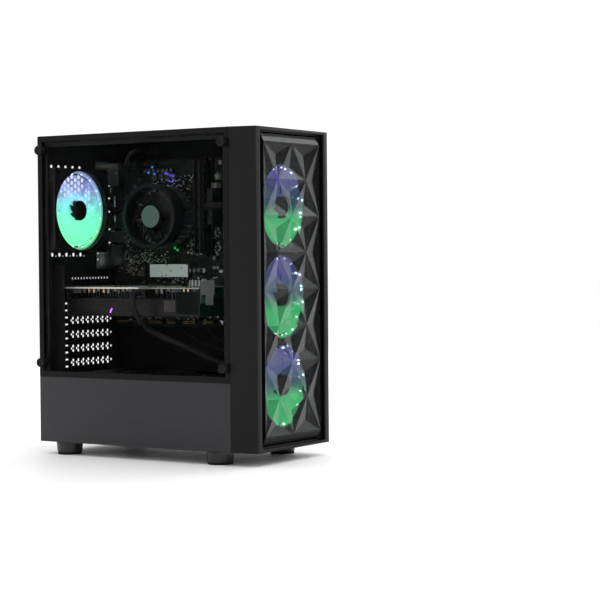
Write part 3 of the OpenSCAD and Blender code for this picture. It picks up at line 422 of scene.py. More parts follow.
def circuit_group():
    """Copper tracks under solder mask, with plated holes, on a board that lies in the given plane."""
    group, given, out = new_group("Circuit tracks", {"Vector": "Vector"}, "Track", "Hole", "Print")
    place = given["Vector"]

    def pattern(kind, scale, inputs=(), **settings):
        return node(group, "Tex" + kind, {"Vector": place, "Scale": scale, **dict(inputs)}, **settings).outputs

    zone = split(pattern("Voronoi", 60, distance="CHEBYCHEV")["Color"])[0]
    flat, steep, sloped = (pattern("Wave", scale, bands_direction=way)["Fac"]
            for way, scale in (("X", 190), ("Y", 190), ("DIAGONAL", 140)))
    way = node(group, "Mix", {0: above(zone, 0.36), 2: flat, 3: steep}).outputs[0]
    way = node(group, "Mix", {0: above(zone, 0.66), 2: way, 3: sloped}).outputs[0]
    line = times(above(way, 0.62), minus(1, below(zone, 0.14)))
    dots = pattern("Voronoi", 330, {"Randomness": 0.9})["Distance"]
    marks = pattern("Brick", 150, {"Mortar Size": 0.012})["Fac"]
    mark = times(above(marks, 0.5), above(noise(place, 45), 0.6))
    feed(out, Track=line, Hole=below(dots, 0.16), Print=mark)
    return group


def braid_group():
    """The over-and-under ridges of a woven sleeve, on a tube's own map: round it and along it."""
    group, given, out = new_group("Woven sleeve", {"Round": 12, "Along": 400}, "Height")
    across, along, _ = split(node(group, "TexCoord").outputs["UV"])
    turns = times(times(across, given["Round"]), TAU)
    run = times(along, given["Along"])
    feed(out, Height=maths("ABSOLUTE", times(maths("SINE", plus(turns, run)), maths("SINE", minus(turns, run)))))
    return group


def glow_group():
    """The light of a lit fan: one colour above, one in the middle and one below, in streaks round the hub."""
    group, given, out = new_group(
        "Fan glow", {"Vector": "Vector", "Reach": 0.055, "Top": "Color", "Middle": "Color", "Low": "Color"},
        "Colour", "Streak", "Rise")
    x, _, z = split(given["Vector"])
    rise = plus(times(maths("DIVIDE", z, given["Reach"]), 0.5), 0.5, clamp=True)
    lower = times(minus(rise, 0.3), 4.5, clamp=True)
    upper = times(minus(rise, 0.54), 3.4, clamp=True)
    colour = blend(upper, blend(lower, given["Low"], given["Middle"]), given["Top"])
    reach = maths("SQRT", plus(times(x, x), times(z, z)))
    swirl = plus(maths("ARCTAN2", z, x), times(reach, 16))
    fan = node(group, "CombineXYZ", {0: times(maths("SINE", swirl), 9), 1: times(maths("COSINE", swirl), 9)})
    feed(out, Colour=colour, Streak=noise(fan.outputs[0], 1), Rise=rise)
    return group


def label_group():
    """Plain blocks and bars, as a printed label has, with no words."""
    group, given, out = new_group("Label print", {"Vector": "Vector"}, "Ink")
    place = given["Vector"]
    bars = node(group, "TexBrick", {"Vector": place, "Scale": 230, "Mortar Size": 0.02, "Brick Width": 0.35,
            "Row Height": 0.42}).outputs["Fac"]
    spots = node(group, "TexVoronoi", {"Vector": place, "Scale": 190}, distance="CHEBYCHEV").outputs
    ink = times(below(spots["Distance"], 0.24), above(bars, 0.5))
    blocks = times(below(spots["Distance"], 0.17), above(split(spots["Color"])[0], 0.62))
    feed(out, Ink=maths("MAXIMUM", ink, blocks))
    return group


GRAIN, WEAR, DUST, BRUSH = grain_group(), wear_group(), dust_group(), brush_group()
CIRCUIT, BRAID, GLOW, LABEL = circuit_group(), braid_group(), glow_group(), label_group()


# ---- finishes
def use(tree, group, **values):
    placed = node(tree, "Group", node_tree=group)
    feed(placed, **values)
    return placed.outputs


def grained(tree, size, clouds):
    return use(tree, GRAIN, Size=size, Clouds=clouds)


def start(name="finish", **values):
    """A new finish: its tree and its shader, with the shader's plain values set."""
    finish = bpy.data.materials.new(name)
    finish.use_nodes = True
    shader = finish.node_tree.nodes["Principled BSDF"]
    feed(shader, **values)
    return finish, finish.node_tree, shader


def bump(shader, height, strength, distance=0.0002):
    raised = node(shader.id_data, "Bump", {"Height": height, "Strength": strength, "Distance": distance})
    feed(shader, Normal=raised.outputs[0])


def cloudy(grain, base, spread, clamp=False):
    """A value that drifts slowly over the surface."""
    return plus(base, times(grain["Cloud"], spread), clamp=clamp)


def shade(shader, colour, grain, mottle=0.18, wear=0, worn=None, dust=0, roughness=0.5):
    """Colour and gloss that change over the surface: clouds, specks, rubbed edges and dust."""
    tree = shader.id_data
    mixed = blend(grain["Cloud"], [c * (1 - mottle) for c in colour], [c * (1 + mottle) for c in colour])
    mixed = blend(times(grain["Speck"], 0.2), mixed, [c * 1.3 for c in colour])
    if wear:
        mixed = blend(use(tree, WEAR, Amount=wear)["Mask"], mixed, worn or [min(1, c * 2 + 0.02) for c in colour])
    if dust:
        mixed = blend(use(tree, DUST, Amount=dust)["Mask"], mixed, (0.34, 0.33, 0.31))
    feed(shader, Base_Color=mixed, Roughness=cloudy(grain, roughness - 0.08, 0.16, clamp=True))


def coated(colour, roughness=0.5, size=0.0006, depth=0.1, wear=0.35, dust=0.05, gloss=0.2, **values):
    """Powder coat, moulded plastic, rubber: a grained skin over one colour."""
    finish, tree, shader = start(Specular_IOR_Level=gloss, **values)
    grain = grained(tree, size, 0.06)
    shade(shader, colour, grain, mottle=0.06, wear=wear, dust=dust, roughness=roughness)
    bump(shader, grain["Height"], depth)
    return finish


def metal(colour, roughness=0.35, stretch=(40, 4000, 4000), depth=0.25):
    """Rolled, brushed, plated or cast metal."""
    finish, tree, shader = start(Metallic=1)
    shade(shader, colour, grained(tree, 0.0012, 0.02), 0.12, 0.2, (0.9, 0.9, 0.9), roughness=roughness)
    bump(shader, use(tree, BRUSH, Stretch=stretch)["Height"], depth, 0.0001)
    return finish


def circuit(mask, track, turn=(0, 0, 0)):
    """Solder mask over tracks; turn lays the pattern's flat on the board's plane."""
    finish, tree, shader = start(Specular_IOR_Level=0.08)
    flat = node(tree, "Mapping", {"Vector": coords(tree), "Rotation": turn}).outputs[0]
    tracks = use(tree, CIRCUIT, Vector=flat)
    colour = blend(times(tracks["Track"], 0.8), mask, track)
    colour = blend(times(tracks["Print"], 0.35), colour, (0.2, 0.2, 0.18))
    colour = blend(tracks["Hole"], colour, (0.16, 0.12, 0.06))
    feed(shader, Base_Color=colour, Roughness=minus(0.48, times(tracks["Hole"], 0.2)))
    grain = grained(tree, 0.002, 0.03)
    bump(shader, plus(times(tracks["Track"], 0.5), times(grain["Height"], 0.3)), 0.35, 0.00008)
    return finish


def lit(name, centre, reach, colours, strength, streaks, alpha=None):
    """Plastic lit from inside by its fan's lamps, with its pattern centred on the fan."""
    finish, tree, shader = start(name, Emission_Strength=strength)
    centred = node(tree, "Mapping", {"Vector": coords(tree), "Location": [-c for c in centre]}).outputs[0]
    top, middle, low = ((*colour, 1) for colour in colours)
    glow = use(tree, GLOW, Vector=centred, Reach=reach, Top=top, Middle=middle, Low=low)
    grain = grained(tree, 0.0008, 0.02)
    strong = times(minus(glow["Streak"], 0.3), 2.6, clamp=True)
    share = plus(1 - streaks, times(strong, streaks))
    feed(shader, Emission_Color=blend(share, (0, 0, 0), glow["Colour"]), Roughness=cloudy(grain, 0.22, 0.15),
         Base_Color=blend(0.45, glow["Colour"], (0.75, 0.8, 0.85)))
    if alpha:
        feed(shader, Alpha=minus(alpha[0], times(glow["Rise"], alpha[0] - alpha[1])))
    bump(shader, grain["Height"], 0.12)
    return finish


def smoked_panel(low, high, clear, gloss):
    """Dark see-through plastic; the less clear it is, the more its satin skin shows."""
    finish, tree, shader = start(Transmission_Weight=clear, IOR=1.16, Specular_IOR_Level=gloss)
    grain = grained(tree, 0.0009, 0.04)
    feed(shader, Base_Color=blend(grain["Cloud"], low, high), Roughness=cloudy(grain, 0.08, 0.05))
    bump(shader, grain["Height"], 0.004, 0.0001)
    return finish


def clear_glass():
    """Tempered glass: clear, glossier at a shallow angle, with wiping marks and a black printed border."""
    finish, tree, shader = start(Base_Color=(0.005, 0.005, 0.0055, 1), Specular_IOR_Level=0.1)
    edge = node(tree, "Fresnel", {"IOR": 1.5}).outputs[0]
    cover = plus(0.02, times(edge, 0.3), clamp=True)
    low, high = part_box("glass_panel")
    border = 0.008
    place = split(coords(tree))
    for index in (1, 2):
        middle, reach = (low[index] + high[index]) / 2, (high[index] - low[index]) / 2 - border
        cover = maths("MAXIMUM", cover, above(maths("ABSOLUTE", minus(place[index], middle)), reach))
    feed(shader, Alpha=cover, Roughness=cloudy(grained(tree, 0.02, 0.12), 0.02, 0.05))
    return finish


def gauze(colour, pitch, thread):
    """A fine net: threads both ways with open squares between them."""
    finish, tree, shader = start()
    place = split(coords(tree))
    threads = [below(maths("FRACT", times(place[i], 1 / pitch)), thread / pitch) for i in (0, 1)]
    feed(shader, Alpha=maths("MAXIMUM", *threads))
    shade(shader, colour, grained(tree, 0.0004, 0.02), roughness=0.6)
    return finish


def printed_label(paper, ink_colour, turn):
    finish, tree, shader = start(Specular_IOR_Level=0.3)
    flat = node(tree, "Mapping", {"Vector": coords(tree), "Rotation": turn}).outputs[0]
    grain = grained(tree, 0.0012, 0.02)
    clean = blend(grain["Cloud"], [c * 0.92 for c in paper], paper)
    feed(shader, Base_Color=blend(use(tree, LABEL, Vector=flat)["Ink"], clean, ink_colour),
         Roughness=cloudy(grain, 0.4, 0.2))
    bump(shader, grain["Height"], 0.1, 0.00005)
    return finish


def woven(colour, round_count, along):
    finish, tree, shader = start(Specular_IOR_Level=0.25)
    height = use(tree, BRAID, Round=round_count, Along=along)["Height"]
    feed(shader, Base_Color=blend(height, [c * 0.4 for c in colour], [c * 1.5 for c in colour]),
         Roughness=minus(0.75, times(height, 0.3)))
    bump(shader, height, 0.7, 0.0004)
    return finish


def hub_label():
    finish, tree, shader = start(Coat_Weight=0.3, Coat_Roughness=0.2)
    grain = grained(tree, 0.001, 0.008)
    shade(shader, (0.055, 0.108, 0.088), grain, mottle=0.25, roughness=0.4)
    bump(shader, grain["Height"], 0.1)
    return finish


ON_SIDE = (0, math.pi / 2, 0)
FINISH = {
    "black steel": coated((0.0075, 0.0077, 0.0085), 0.45, 0.0005, wear=0.2, gloss=0.14),
    "charcoal steel": coated((0.0225, 0.023, 0.025), 0.42, 0.0005, wear=0.2),
    "black plastic": coated((0.0065, 0.0065, 0.0072), 0.42, 0.0004, wear=0.15, gloss=0.12),
    "mesh black": coated((0.006, 0.006, 0.0065), 0.5, 0.0004),
    "soft rubber": coated((0.008, 0.008, 0.008), 0.8, 0.0007, 0.3, wear=0, gloss=0.1),
    "foot plastic": coated((0.01, 0.01, 0.011), 0.28, 0.0009, gloss=0.4),
    "screw black": coated((0.006, 0.006, 0.0065), 0.45, 0.0003, wear=0.3, gloss=0.12),
    "button plastic": coated((0.02, 0.02, 0.022), 0.25, 0.0004, wear=0.15, gloss=0.4),
    "fan black": coated((0.006, 0.006, 0.0065), 0.45, 0.0004, gloss=0.12),
    "dark rotor": coated((0.006, 0.0062, 0.007), 0.35, 0.0005, gloss=0.15),
    "cooler ring": coated((0.006, 0.006, 0.007), 0.4, 0.0006, gloss=0.12),
    "screw steel": metal((0.3, 0.3, 0.31), 0.35, (600, 600, 600)),
    "bare aluminium": metal((0.5, 0.51, 0.53), 0.38),
    "dark fins": metal((0.05, 0.052, 0.055), 0.45),
    "port metal": metal((0.25, 0.27, 0.27), 0.35, (60, 60, 2500)),
    "drive metal": metal((0.3, 0.31, 0.32), 0.5, (900, 900, 900), 0.4),
    "gold pins": metal((0.6, 0.4, 0.15), 0.3, (900, 900, 900), 0.1),
    "socket plastic": coated((0.007, 0.007, 0.0075), 0.5, 0.0005, gloss=0.15),
    "ivory plastic": coated((0.24, 0.235, 0.2), 0.45, 0.0005, wear=0),
    "chip": coated((0.009, 0.009, 0.0095), 0.42, 0.0003, gloss=0.3),
    "choke": coated((0.05, 0.05, 0.051), 0.5, 0.0004, 0.3),
    "capacitor": metal((0.1, 0.1, 0.105), 0.3, (300, 4000, 4000)),
    "resistor": coated((0.48, 0.46, 0.38), 0.4, 0.0003, wear=0),
    "card plastic": coated((0.01, 0.01, 0.011), 0.34, 0.0005, wear=0.3, gloss=0.15),
    # The card's board edge in two copies: a near-white one as painted highlight and a dull one as painted shade.
    "card edge": coated((0.95, 0.92, 0.84), 0.5, 0.0006, wear=0, dust=0),
    "card rim painted shade": coated((0.3, 0.33, 0.27), 0.5, 0.0006, wear=0, dust=0),
    "psu steel": coated((0.012, 0.012, 0.013), 0.5, 0.001, 0.4, gloss=0.15),
    "main board": circuit((0.006, 0.008, 0.0075), (0.018, 0.024, 0.021), ON_SIDE),
    "card board": circuit((0.006, 0.0075, 0.0072), (0.016, 0.018, 0.018)),
    "drive label": printed_label((0.9, 0.97, 0.94), (0.03, 0.035, 0.04), ON_SIDE),
    "smoked panel": smoked_panel((0.4, 0.41, 0.43), (0.46, 0.47, 0.49), 0.99, 0.5),
    # A lighter copy and a darker copy of the smoked panel, and an opaque dark rim, paint light and shade on the facets
    # by the way they lean.
    "facets with painted light": smoked_panel((0.33, 0.35, 0.36), (0.37, 0.39, 0.4), 0.89, 0.8),
    "facets with painted shade": smoked_panel((0.15, 0.16, 0.17), (0.19, 0.2, 0.21), 0.99, 0.4),
    "panel rim with painted shade": coated((0.005, 0.005, 0.0055), 0.4, 0.0005, wear=0, gloss=0.1),
    # A darker copy of the black steel for the parts inside the case, as painted shade.
    "inside steel painted shade": coated((0.0035, 0.0036, 0.004), 0.5, 0.0005, wear=0.1, gloss=0.06),
    "glass": clear_glass(),
    "filter net": gauze((0.012, 0.012, 0.013), 0.0011, 0.00034),
    "thick sleeve": woven((0.009, 0.009, 0.0096), 9, 1400),
    "thin lead": woven((0.009, 0.009, 0.01), 3, 500),
    "hub label": hub_label(),
    "card bracket": coated((0.055, 0.06, 0.058), 0.4, 0.0006, 0.2, wear=0.4),
    "violet light": coated((0.5, 0.2, 0.9), 0.4, wear=0, dust=0, Emission_Color=(0.55, 0.12, 1, 1),
        Emission_Strength=1.6),
    "green black": coated((0.0015, 0.004, 0.0033), 0.4, 0.0005, gloss=0.03),
    "tan strip": coated((0.13, 0.1, 0.045), 0.5, 0.0005, wear=0),
    "part metal": metal((0.52, 0.56, 0.52), 0.4),
    "bright lip": metal((0.75, 0.77, 0.76), 0.3),
    "pink grey": coated((0.038, 0.033, 0.036), 0.4, 0.0005),
}
for name, finish in FINISH.items():
    finish.name = name


# ---- case
def finish_case():
    paint("black steel", "base_pan", "top_panel", "rear_panel", "slot_covers")
    # The inside parts take the darker steel as painted shade.
    paint("inside steel painted shade", "front_wall", "board_tray", "psu_shroud", "drive_cage")
    paint("glass", "glass_panel")
    paint("soft rubber", "glass_bushes")
    refine(("window_frame", 0.0003, 2, "black_steel", "black steel"),
           ("lower_side_panel", 0.0003, 2, "charcoal_steel", "charcoal steel"),
           ("right_side_panel", 0.0003, 2, "black_steel", "black steel", "side_panel"),
           ("front_bezel", 0.0007, 3, "black_plastic", "black plastic", "bezel"))
    smoked_facets_with_painted_light()
    refine(("feet", 0.0012, 3, "foot_plastic", "foot plastic"),
           ("foot_pads", 0.0006, 2, "rubber", "soft rubber"),
           ("power_button", 0.0006, 2, "button_plastic", "button plastic", "power_key"),
           ("reset_button", 0.0005, 2, "button_plastic", "button plastic", "reset_key"),
           ("front_ports", 0.0003, 2, "black_plastic", "black plastic"))


def smoked_facets_with_painted_light():
    """The faceted panel of one smoked plastic, with light and shade painted by how each face leans: facets leaning up
    or to the right get a lighter, less clear copy as painted light; facets leaning left get a darker copy as painted
    shade; the side walls and the steep faces that do not lean up get an opaque dark finish as painted shade.
    """
    facets = from_frame("facet_panel", 0.00035, 1, 5)
    only(facets)
    bpy.ops.object.shade_flat()
    fit(facets, "smoked_panel", "smoked panel", "facet_panel", body="bezel")
    # rim and deep carry painted shade, satin carries painted light
    rim, satin, deep = 1, 2, 3
    for name in ("panel rim with painted shade", "facets with painted light", "facets with painted shade"):
        facets.data.materials.append(FINISH[name])
    for face in facets.data.polygons:
        x, y, z = face.normal
        if y > 0.5:
            continue
        if y > -0.5:
            face.material_index = rim
        elif max(abs(x), abs(z)) > 0.42:
            face.material_index = satin if z > 0.42 else rim
        elif x > 0.1 or z > 0.13:
            face.material_index = satin
        elif x < -0.12 and z > -0.1:
            face.material_index = deep


def perforated_strips():
    """The fine mesh on both sides of the faceted panel: one cell, then rows and columns of it."""
    pitch, hole, columns = 0.0025, 0.00085, 4
    rims = []
    for radius in (hole, pitch / 2):
        deselect()
        bpy.ops.mesh.primitive_circle_add(vertices=8, radius=radius, location=(0, 0, 0))
        rims.append(bpy.context.object)
    inner, outer = rims
    for vertex in outer.data.vertices:
        vertex.co = vertex.co / max(abs(vertex.co.x), abs(vertex.co.y)) * pitch / 2
    cell = join("mesh_cell", [outer, inner])
    edit_all(cell)
    bpy.ops.mesh.bridge_edge_loops()
    leave()
    cell.data.transform(turned(QUARTER, "X"))
    low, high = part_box("bezel_mesh")
    panel_low, panel_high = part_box("facet_panel")
    rows = int((high.z - low.z) / pitch) - 1
    for count, step in ((columns, (pitch, 0, 0)), (rows, (0, 0, pitch))):
        apply(cell, "ARRAY", count=count, use_relative_offset=False, use_constant_offset=True,
              constant_offset_displace=step, use_merge_vertices=True, merge_threshold=1e-5)
    base = (low.z + high.z) / 2 - (rows - 1) * pitch / 2
    depth = (low.y + high.y) / 2 - 0.0004
    left = Vector((panel_low.x + 0.0003 - columns * pitch + pitch / 2, depth, base))
    right = Vector((panel_high.x - 0.0003 + pitch / 2, depth, base))
    strips = copies("bezel_mesh_fine", cell, [left, right])
    apply(strips, "SOLIDIFY", thickness=0.0005, offset=0)
    # The mesh's own edge band, screwed behind the rim
    bands = [block("mesh_band", (x0, depth - 0.00025, low.z), (x1, depth + 0.00025, high.z))
            for x0, x1 in ((low.x, left.x - pitch / 2), (right.x + (columns - 0.5) * pitch, high.x))]
    bands += [block("mesh_band", (low.x, depth - 0.00024, z0), (high.x, depth + 0.00024, z1))
            for z0, z1 in ((low.z, base - pitch / 2), (base + (rows - 0.5) * pitch, high.z))]
    fit(join("bezel_mesh_fine", [strips, *bands]), "mesh_black", "mesh black", "bezel_mesh", body="bezel")


def thumbscrews():
    """Six knurled thumbscrews with a cross recess: four on the glass, two at the rear."""
    teeth = 72
    places = {"glass_screw_rear_top": "glass_screw_a", "glass_screw_rear_low": "glass_screw_b",
            "glass_screw_front_top": "glass_screw_c", "glass_screw_front_low": "glass_screw_d",
            "side_screw_upper": "side_screw_a", "side_screw_lower": "side_screw_b"}
    for part, body in places.items():
        low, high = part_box(part)
        middle = (low + high) / 2
        if part.startswith("glass"):
            head, long = 0.0088, high.x - low.x
            move = Matrix.Translation((low.x + head, middle.y, middle.z)) @ turned(-QUARTER, "Y")
        else:
            head, long = 0.0076, high.y - low.y
            move = Matrix.Translation((middle.x, high.y - head, middle.z)) @ turned(-QUARTER, "X")
        knob = drum(part + "_knob", head / 2, (high.z - low.z) / 2 - 0.0002, head, teeth)
        pick(knob, lambda middle, normal: abs(normal.z) < 0.3 and int(
            round((math.atan2(middle.y, middle.x) % TAU) / TAU * teeth - 0.5)) % 2 == 0)
        bpy.ops.mesh.inset(thickness=0.0001, depth=0.00018, use_individual=True)
        leave()
        pick(knob, facing_up)
        bpy.ops.mesh.inset(thickness=0.0012, depth=0)
        bpy.ops.mesh.inset(thickness=0.0004, depth=-0.0006)
        leave()
        bars = []
        for turn in (0, QUARTER):
            bar = block("recess", (-0.0022, -0.00035, head - 0.0007), (0.0022, 0.00035, head - 0.0004))
            bar.data.transform(turned(turn, "Z"))
            bars.append(bar)
        shank = long - head
        stem = drum("stem", -shank / 2, 0.00192, shank, 20)
        screw = join(part + "_knurled", [ease(knob, 0.0001, 1, 40), stem, *bars])
        screw.data.transform(move)
        fit(screw, "knob_black", "screw black", part, body=body)


# ---- fans
def swept_blade(name, inner, outer, depth, sweep, width, count, twist=0.5, lie=1):
    """One curved blade as a bent sheet, thickened, and copied round the hub. Height runs from 0 to depth."""
    deselect()
    bpy.ops.mesh.primitive_grid_add(x_subdivisions=14, y_subdivisions=8, size=1)
    blade = settle(name)
    for vertex in blade.data.vertices:
        out, along = vertex.co.x + 0.5, vertex.co.y + 0.5
        radius = inner + (outer - inner) * out
        belly = math.sin(math.pi * along) * 0.05
        angle = sweep * out ** 1.3 + width * (along - 0.5) * (1 - 0.12 * out) + belly
        height = depth * (0.5 + (along - 0.5) * (1 - twist * out) * lie * 0.94)
        vertex.co = (radius * math.cos(angle), radius * math.sin(angle), height)
    apply(blade, "SOLIDIFY", thickness=0.0012, offset=0)
    smooth(50)
    return copies(name, blade, [turned(TAU * i / count, "Z") for i in range(count)])


def hub_profile(radius, depth, lip=0.0012):
    return [(0, depth - 0.0004), (radius * 0.55, depth - 0.0004), (radius * 0.58, depth - 0.0008),
            (radius * 0.62, depth - 0.0002), (radius - lip * 1.6, depth), (radius - lip * 0.5, depth - lip * 0.35),
            (radius, depth - lip * 1.3), (radius, lip), (radius - lip, 0), (0.0026, 0), (0.0022, 0.0006),
            (0.0022, depth * 0.6), (0, depth * 0.6)]


def dark_rotor(part, body, axis, inner, sweep, width, count):
    """An unlit rotor that faces down its axis: a hub and swept blades, sized by its frame part."""
    low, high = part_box(part)
    across = 0 if axis == 2 else 2
    base = (low + high) / 2
    base[axis] = high[axis]
    facing = Vector()
    facing[axis] = -1
    depth, radius = high[axis] - low[axis], (high[across] - low[across]) / 2
    blades = swept_blade("blades", inner, radius, depth, sweep, width, count)
    rotor = join(part + "_swept", [blades, lathe("hub", hub_profile(inner + 0.0005, depth))])
    rotor.data.transform(towards(facing, base))
    fit(rotor, "dark_rotor", "dark rotor", part, body=body)


def case_rotor(part, body, centre, light):
    """A lit case fan's rotor: dark hub, a ring that spreads the light, clear swept blades."""
    low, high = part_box(part)
    depth = high.y - low.y
    move = towards((0, -1, 0), (centre.x, high.y, centre.z))
    hub = lathe(part + "_hub", hub_profile(0.0145, depth))
    hub.data.transform(move)
    fit(hub, "dark_rotor", "dark rotor", part, body=body)
    blades = swept_blade(part + "_blades", 0.014, (high.x - low.x) / 2, depth, 0.62, 1.12, 9, 0.35, 0.55)
    skirt = lathe("skirt", [(0.0138, depth * 0.35), (0.0265, depth * 0.22), (0.0265, depth * 0.18),
            (0.0138, depth * 0.31), (0.0138, depth * 0.35)])
    blades = join(part + "_blades", [blades, skirt])
    blades.data.transform(move)
    fit(blades, "fan_clear", light, body=body)


def lamp_ring(name, centre, y, light, lamp_light):
    """The lit ring of a fan and its sixteen lamps."""
    outer, inner = 0.0569, 0.0536
    ring = lathe(name + "_rings", [(outer, 0), (outer, 0.006), (inner + 0.0006, 0.0058), (inner, 0.0048),
            (inner - 0.0002, 0.003), (inner, 0.0012), (inner + 0.0006, 0.0002), (outer, 0)],
            (centre.x, y, centre.z), "Y", 96)
    deselect()
    bpy.ops.mesh.primitive_uv_sphere_add(segments=10, ring_count=6, radius=0.0016, location=(inner - 0.0002, 0, 0))
    dome = settle("lamp")
    smooth(60)
    place = Matrix.Translation((centre.x, y + 0.0012, centre.z)) @ turned(-QUARTER, "X")
    lamps = copies(name + "_lamps", dome, [place @ turned(TAU * (i + 0.5) / 16, "Z") for i in range(16)])
    fit(ring, "fan_light", light)
    fit(lamps, "fan_light", lamp_light)
    return ring


def fans():
    refine(("front_fan_frames", 0.0004, 2, "fan_black", "fan black"),
           ("rear_fan_frame", 0.0004, 2, "fan_black", "fan black"))
    front = ((0.075, 0.07, 0.3), (0.015, 0.11, 0.14), (0.005, 0.72, 0.17))
    sparks = ((0.75, 0.7, 1), (0.6, 1, 1), (0.6, 1, 0.75))
    for part, body, z in FRONT_FANS:
        centre = at(0, -157, z)
        case_rotor("front_rotor_" + part, body, centre,
                lit(part + " front blades", centre, 0.05, front, 1.1, 0.45, (0.97, 0.9)))
        lamp_ring("front_fan_" + part, centre, at(0, -162, z).y,
                lit(part + " front ring", centre, 0.055, front, 0.9, 0.3),
                lit(part + " front lamps", centre, 0.055, sparks, 7, 0))
    centre = at(*REAR_FAN)
    rear = ((0.36, 0.42, 0.85), (0.16, 0.68, 0.6), (0.14, 0.97, 0.46))
    sparks = ((0.6, 0.7, 1), (0.4, 1, 0.9), (0.4, 1, 0.6))
    case_rotor("rear_rotor", "rear_fan", centre, lit("rear blades", centre, 0.052, rear, 1.15, 0.4, (0.98, 0.16)))
    lamp_ring("rear_fan", centre, at(0, 166, 0).y, lit("rear ring", centre, 0.055, rear, 0.45, 0.3),
            lit("rear lamps", centre, 0.055, sparks, 1.2, 0))
    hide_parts("light_rings")


# ---- motherboard
def board_parts():
    paint("main board", "motherboard", "solid_state_drive")
    paint("card board", "card_board")
    refine(("board_sockets", 0.0003, 2, "socket_plastic", "socket plastic"),
           ("board_heatsink", 0.0002, 2, "bare_aluminium", "bare aluminium"),
           ("memory_modules", 0.00012, 1, "memory_chip", "chip"))
    paint("port metal", "rear_ports")

    # Round capacitors: a can with a rolled lip and a scored top
    can = lathe("can", [(0, 0.0079), (0.0022, 0.008), (0.0028, 0.0078), (0.0031, 0.0072), (0.0031, 0.0018),
            (0.0028, 0.0014), (0.0028, 0.001), (0.0031, 0.0006), (0.0031, 0), (0, 0)], steps=20)
    spots = [(128 + 7.5 * (i % 2), 392 - 9 * i) for i in range(9)]
    spots += [(118 - 8 * i, 405) for i in range(7)] + [(22 + 7.5 * i, 258) for i in range(3)]
    spots += [(145, 290), (145, 282), (152, 286), (-6, 262), (-12, 262), (-6, 276), (122, 240), (30, 196), (60, 192)]
    fit(copies("capacitors", can, off_face(spots)), "port_metal", "capacitor")

    # Pressed chokes beside the processor
    choke = block("choke", (-0.004, -0.004, 0), (0.004, 0.004, 0.0062))
    ease(sink(choke, facing_up, 0.0012, 0.0003), 0.0006, 2)
    spots = [(118, 380 - 11 * i) for i in range(6)] + [(100 - 11 * i, 396) for i in range(4)]
    fit(copies("chokes", choke, off_face(spots)), "socket_plastic", "choke")

    # Chips of several sizes, with a chamfered rim
    chips = [ease(on_board("chip", y, z, y + wide, z + tall, 0.1, thick), 0.00018) for y, z, wide, tall, thick in (
        (108, 300, 9, 9, 1.2), (30, 245, 12, 12, 1.4), (-8, 320, 7, 5, 1), (60, 258, 8, 6, 1), (130, 262, 7, 7, 1),
        (100, 224, 14, 14, 1.2), (15, 210, 6, 6, 1), (-10, 224, 9, 5, 1.2), (-10, 405, 6, 8, 1),
        (150, 230, 10, 7, 1.2))]
    spots = [(110, 384 - 5.5 * i) for i in range(9)] + [(98 - 11 * i, 388) for i in range(5)]
    chips += [ease(on_board("chip", y, z, y + 4.6, z + 4.4, 0.1, 1.1), 0.00015) for y, z in spots]
    fit(join("board_chips", chips), "memory_chip", "chip")

    # Small components in clusters, every other one ceramic or metal
    draw = random.Random(11)
    grit = block("grit", (-0.0008, -0.0004, 0), (0.0008, 0.0004, 0.0006))
    stud = block("stud", (-0.0009, -0.0007, 0), (0.0009, 0.0007, 0.0016))
    spots = []
    for middle_y, middle_z, spread_y, spread_z, count in (
            (120, 340, 14, 45, 120), (70, 385, 40, 12, 90), (20, 300, 30, 20, 110), (130, 262, 20, 12, 70),
            (40, 240, 60, 10, 110), (60, 200, 70, 14, 120), (-8, 340, 6, 60, 70), (142, 300, 32, 45, 240),
            (120, 270, 40, 16, 120)):
        for _ in range(count):
            y = middle_y + draw.uniform(-spread_y, spread_y)
            z = middle_z + draw.uniform(-spread_z, spread_z)
            turn = turned(draw.choice((0, QUARTER)), "Z")
            if -19 < y < 178 and 178 < z < 418 and math.hypot(y - COOLER_Y, z - COOLER_Z) > 30:
                spots.append(off_face([(y, z)])[0] @ turn)
    fit(copies("small_components", grit, spots[::2]), "socket_plastic", "resistor")
    fit(copies("small_metal_parts", stud, spots[1::2]), "port_metal", "part metal")

    # Pin headers and their gilded pins
    base = on_board("header", 0, 0, 22, 5, 0, 2.4)
    base.data.transform(Matrix.Translation(-at(FACE_X, 0, 0)))
    pin = block("pin", (-0.0085, -0.00032, -0.00032), (-0.002, 0.00032, 0.00032))
    spots = [(150, 180), (120, 180), (90, 180), (60, 180), (30, 180), (-2, 181), (100, 412)]
    bases = copies("pin_headers", base, [at(FACE_X, y, z) for y, z in spots])
    fit(ease(bases, 0.0002), "socket_plastic", "socket plastic")
    pins = [at(FACE_X, y + 1.3 + 2.5 * i, z + 1.3 + 2.4 * k) for y, z in spots for i in range(8) for k in (0, 1)]
    fit(copies("header_pins", pin, pins), "port_metal", "gold pins")

    # Button cell in its holder, and the drive's label
    cell = lathe("button_cell", [(0, 0.0042), (0.0088, 0.0042), (0.0094, 0.004), (0.0097, 0.0036), (0.0097, 0.0012),
            (0.0106, 0.0012), (0.0106, 0), (0, 0)], at(FACE_X, 90, 208), "-X", 40)
    fit(cell, "port_metal", "port metal")
    label = on_board("drive_label", 42, 248.7, 111, 267.3, 5.4, 5.62)
    fit(ease(label, 0.0001), "drive_label", "drive label")

    # Plugs at the board's front edge
    plugs = [ease(sink(on_board("plug", -14, z, -5, z + 12, 0, 11), facing_glass, 0.0012, 0.004), 0.0003)
            for z in (372, 334)]
    plugs += [ease(on_board("plug", -15, z, -9, z + 8, 0, 8), 0.0003) for z in (389, 352)]
    fit(join("ivory_plugs", plugs), "socket_plastic", "ivory plastic")


